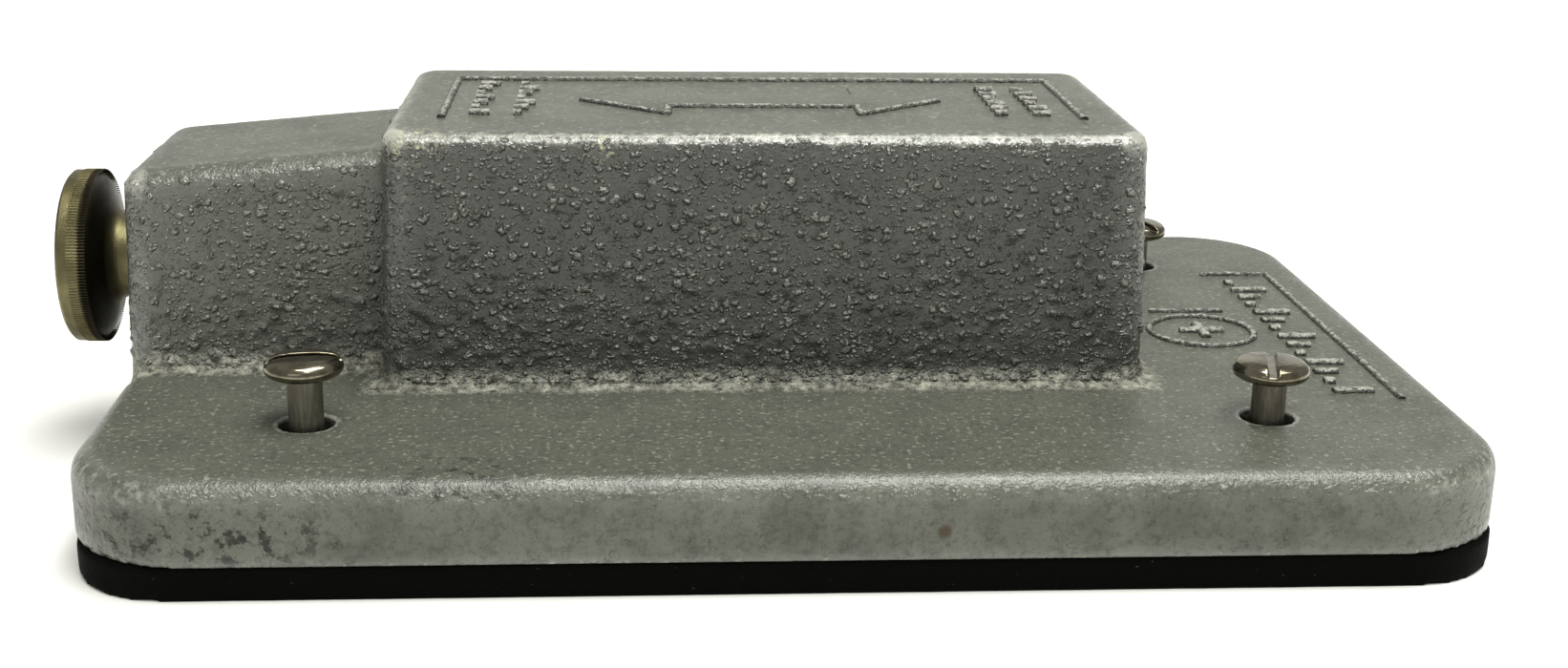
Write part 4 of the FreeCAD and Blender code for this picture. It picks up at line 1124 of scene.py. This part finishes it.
def looseScrewTree():
    tree, put, out = newGrowth("looseScrew", [
        ("Turn", "Float", 0.0), ("Place", "Vector", None), ("Finish", "Material", None)])
    turn = addNode(tree, "ShaderNodeCombineXYZ", {"Z": put["Turn"]}).outputs[0]
    moved = addNode(tree, "GeometryNodeTransform", {
        "Geometry": put["Geometry"], "Rotation": turn, "Translation": put["Place"]}).outputs[0]
    finishTree(tree, moved, put["Finish"], out["Geometry"])
    return tree


def makeScrews():
    base = baseScrew()
    tree = looseScrewTree()
    for corner, turn in screws["turns"].items():
        node = "mounting_screw_" + corner
        low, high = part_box(node)
        place = ((low.x + high.x) / 2, (low.y + high.y) / 2, low.z)
        piece = workPiece("screwWork", base)
        values = {"Turn": math.radians(turn), "Place": place, "Finish": finishes["screw_nickel"]}
        mesh = grow(piece, tree, values, "screw." + corner)
        bpy.data.objects.remove(piece)
        smoothShade(mesh)
        linkPiece("screw." + corner, mesh, corner + "_screw", [node])
    print("screws: 4 of", len(base.polygons), "faces")


makeScrews()


# gasket: cut rubber sheet with a slightly wavy edge

gasket = {
    "cell": 0.0007,
    "soften": 2,
    "waveSize": 0.006,
    "waveDepth": 0.00022,
    "faces": 50000,
}


def gasketTree():
    tree, put, out = newGrowth("cutSheet", [
        ("Wave Size", "Float", 0.006), ("Wave Depth", "Float", 0.0002),
        ("Finish", "Material", None)])
    normal = tree.nodes.new("GeometryNodeInputNormal").outputs[0]
    waves = noise(tree, pointPlaces(tree), over(tree, 1.0, put["Wave Size"]))
    lift = times(tree, minus(tree, waves, 0.62), put["Wave Depth"])
    flat = vectorMath(tree, "MULTIPLY", normal, (1.0, 1.0, 0.0))
    moved = shifted(tree, put["Geometry"], vectorMath(tree, "SCALE", flat, lift))
    finishTree(tree, moved, put["Finish"], out["Geometry"])
    return tree


def makeGasket():
    piece = workPiece("gasketWork", weldedNode("base_gasket"))
    addCells(piece, gasket["cell"], gasket["soften"])
    settle(piece, "gasketCells")
    values = {"Wave Size": gasket["waveSize"], "Wave Depth": gasket["waveDepth"],
              "Finish": finishes["gasket_rubber"]}
    piece.data = grow(piece, gasketTree(), values, "gasketWaves")
    mesh = thinned(piece, gasket["faces"], "gasketSheet")
    smoothShade(mesh)
    return linkPiece("gasketSheet", mesh, "housing", ["base_gasket"])


makeGasket()


# camera, floor and light

camera = {
    "place": (-0.019863, -0.284951, 0.101964),
    "turn": 4.2316,
    "tip": 16.9698,
    "roll": 1.0044,
    "lens": 47.09,
}


def placeCamera():
    data = bpy.data.cameras.new("camera")
    data.lens = camera["lens"]
    data.sensor_width = 36.0
    data.clip_start = 0.01
    view = workPiece("camera", data)
    turn = Matrix.Rotation(math.radians(-camera["turn"]), 4, "Z")
    tip = Matrix.Rotation(math.radians(90.0 - camera["tip"]), 4, "X")
    roll = Matrix.Rotation(math.radians(camera["roll"]), 4, "Z")
    view.matrix_world = Matrix.Translation(camera["place"]) @ turn @ tip @ roll
    scene.camera = view


studio = {
    "floorHalf": 3.0,
    "floorTone": (0.86, 0.86, 0.85, 1.0),
    "sky": 0.39,
    "tint": (1.0, 0.995, 0.94),
    "lights": {
        "overhead": {"place": (0.13, -0.10, 0.90), "aim": (0.0, 0.0, 0.0),
                     "size": (0.75, 0.55), "power": 14.5},
        "backPanel": {"place": (0.0, 1.10, 0.42), "aim": (0.0, 0.0, 0.02),
                      "size": (1.8, 0.6), "power": 1.7},
        "frontFill": {"place": (-0.35, -0.75, 0.45), "aim": (0.0, 0.0, 0.02),
                      "size": (0.5, 0.5), "power": 0.7},
    },
}


def areaLight(name, light):
    data = bpy.data.lights.new(name, "AREA")
    data.shape = "RECTANGLE"
    data.size, data.size_y = light["size"]
    data.energy = light["power"]
    data.color = studio["tint"]
    lamp = workPiece(name, data)
    direction = Vector(light["aim"]) - Vector(light["place"])
    turn = direction.to_track_quat("-Z", "Y").to_matrix().to_4x4()
    lamp.matrix_world = Matrix.Translation(light["place"]) @ turn


def makeStudio():
    mesh = bpy.data.meshes.new("floor")
    half = studio["floorHalf"]
    corners = [(-half, -half, 0), (half, -half, 0), (half, half, 0), (-half, half, 0)]
    mesh.from_pydata(corners, [], [(0, 1, 2, 3)])
    floor = workPiece("floor", mesh)
    material, tree, shader, _ = newMaterial("floorPaper")
    feedAll(tree, shader, {"Base Color": studio["floorTone"], "Roughness": 0.8})
    mesh.materials.append(material)
    for name, light in studio["lights"].items():
        areaLight(name, light)
    world = bpy.data.worlds.new("studio")
    world.use_nodes = True
    sky = world.node_tree.nodes["Background"].inputs
    sky["Color"].default_value = (*studio["tint"], 1.0)
    sky["Strength"].default_value = studio["sky"]
    scene.world = world
    scene.view_settings.view_transform = "Standard"
    scene.view_settings.look = "None"


placeCamera()
makeStudio()
print("camera and studio placed")
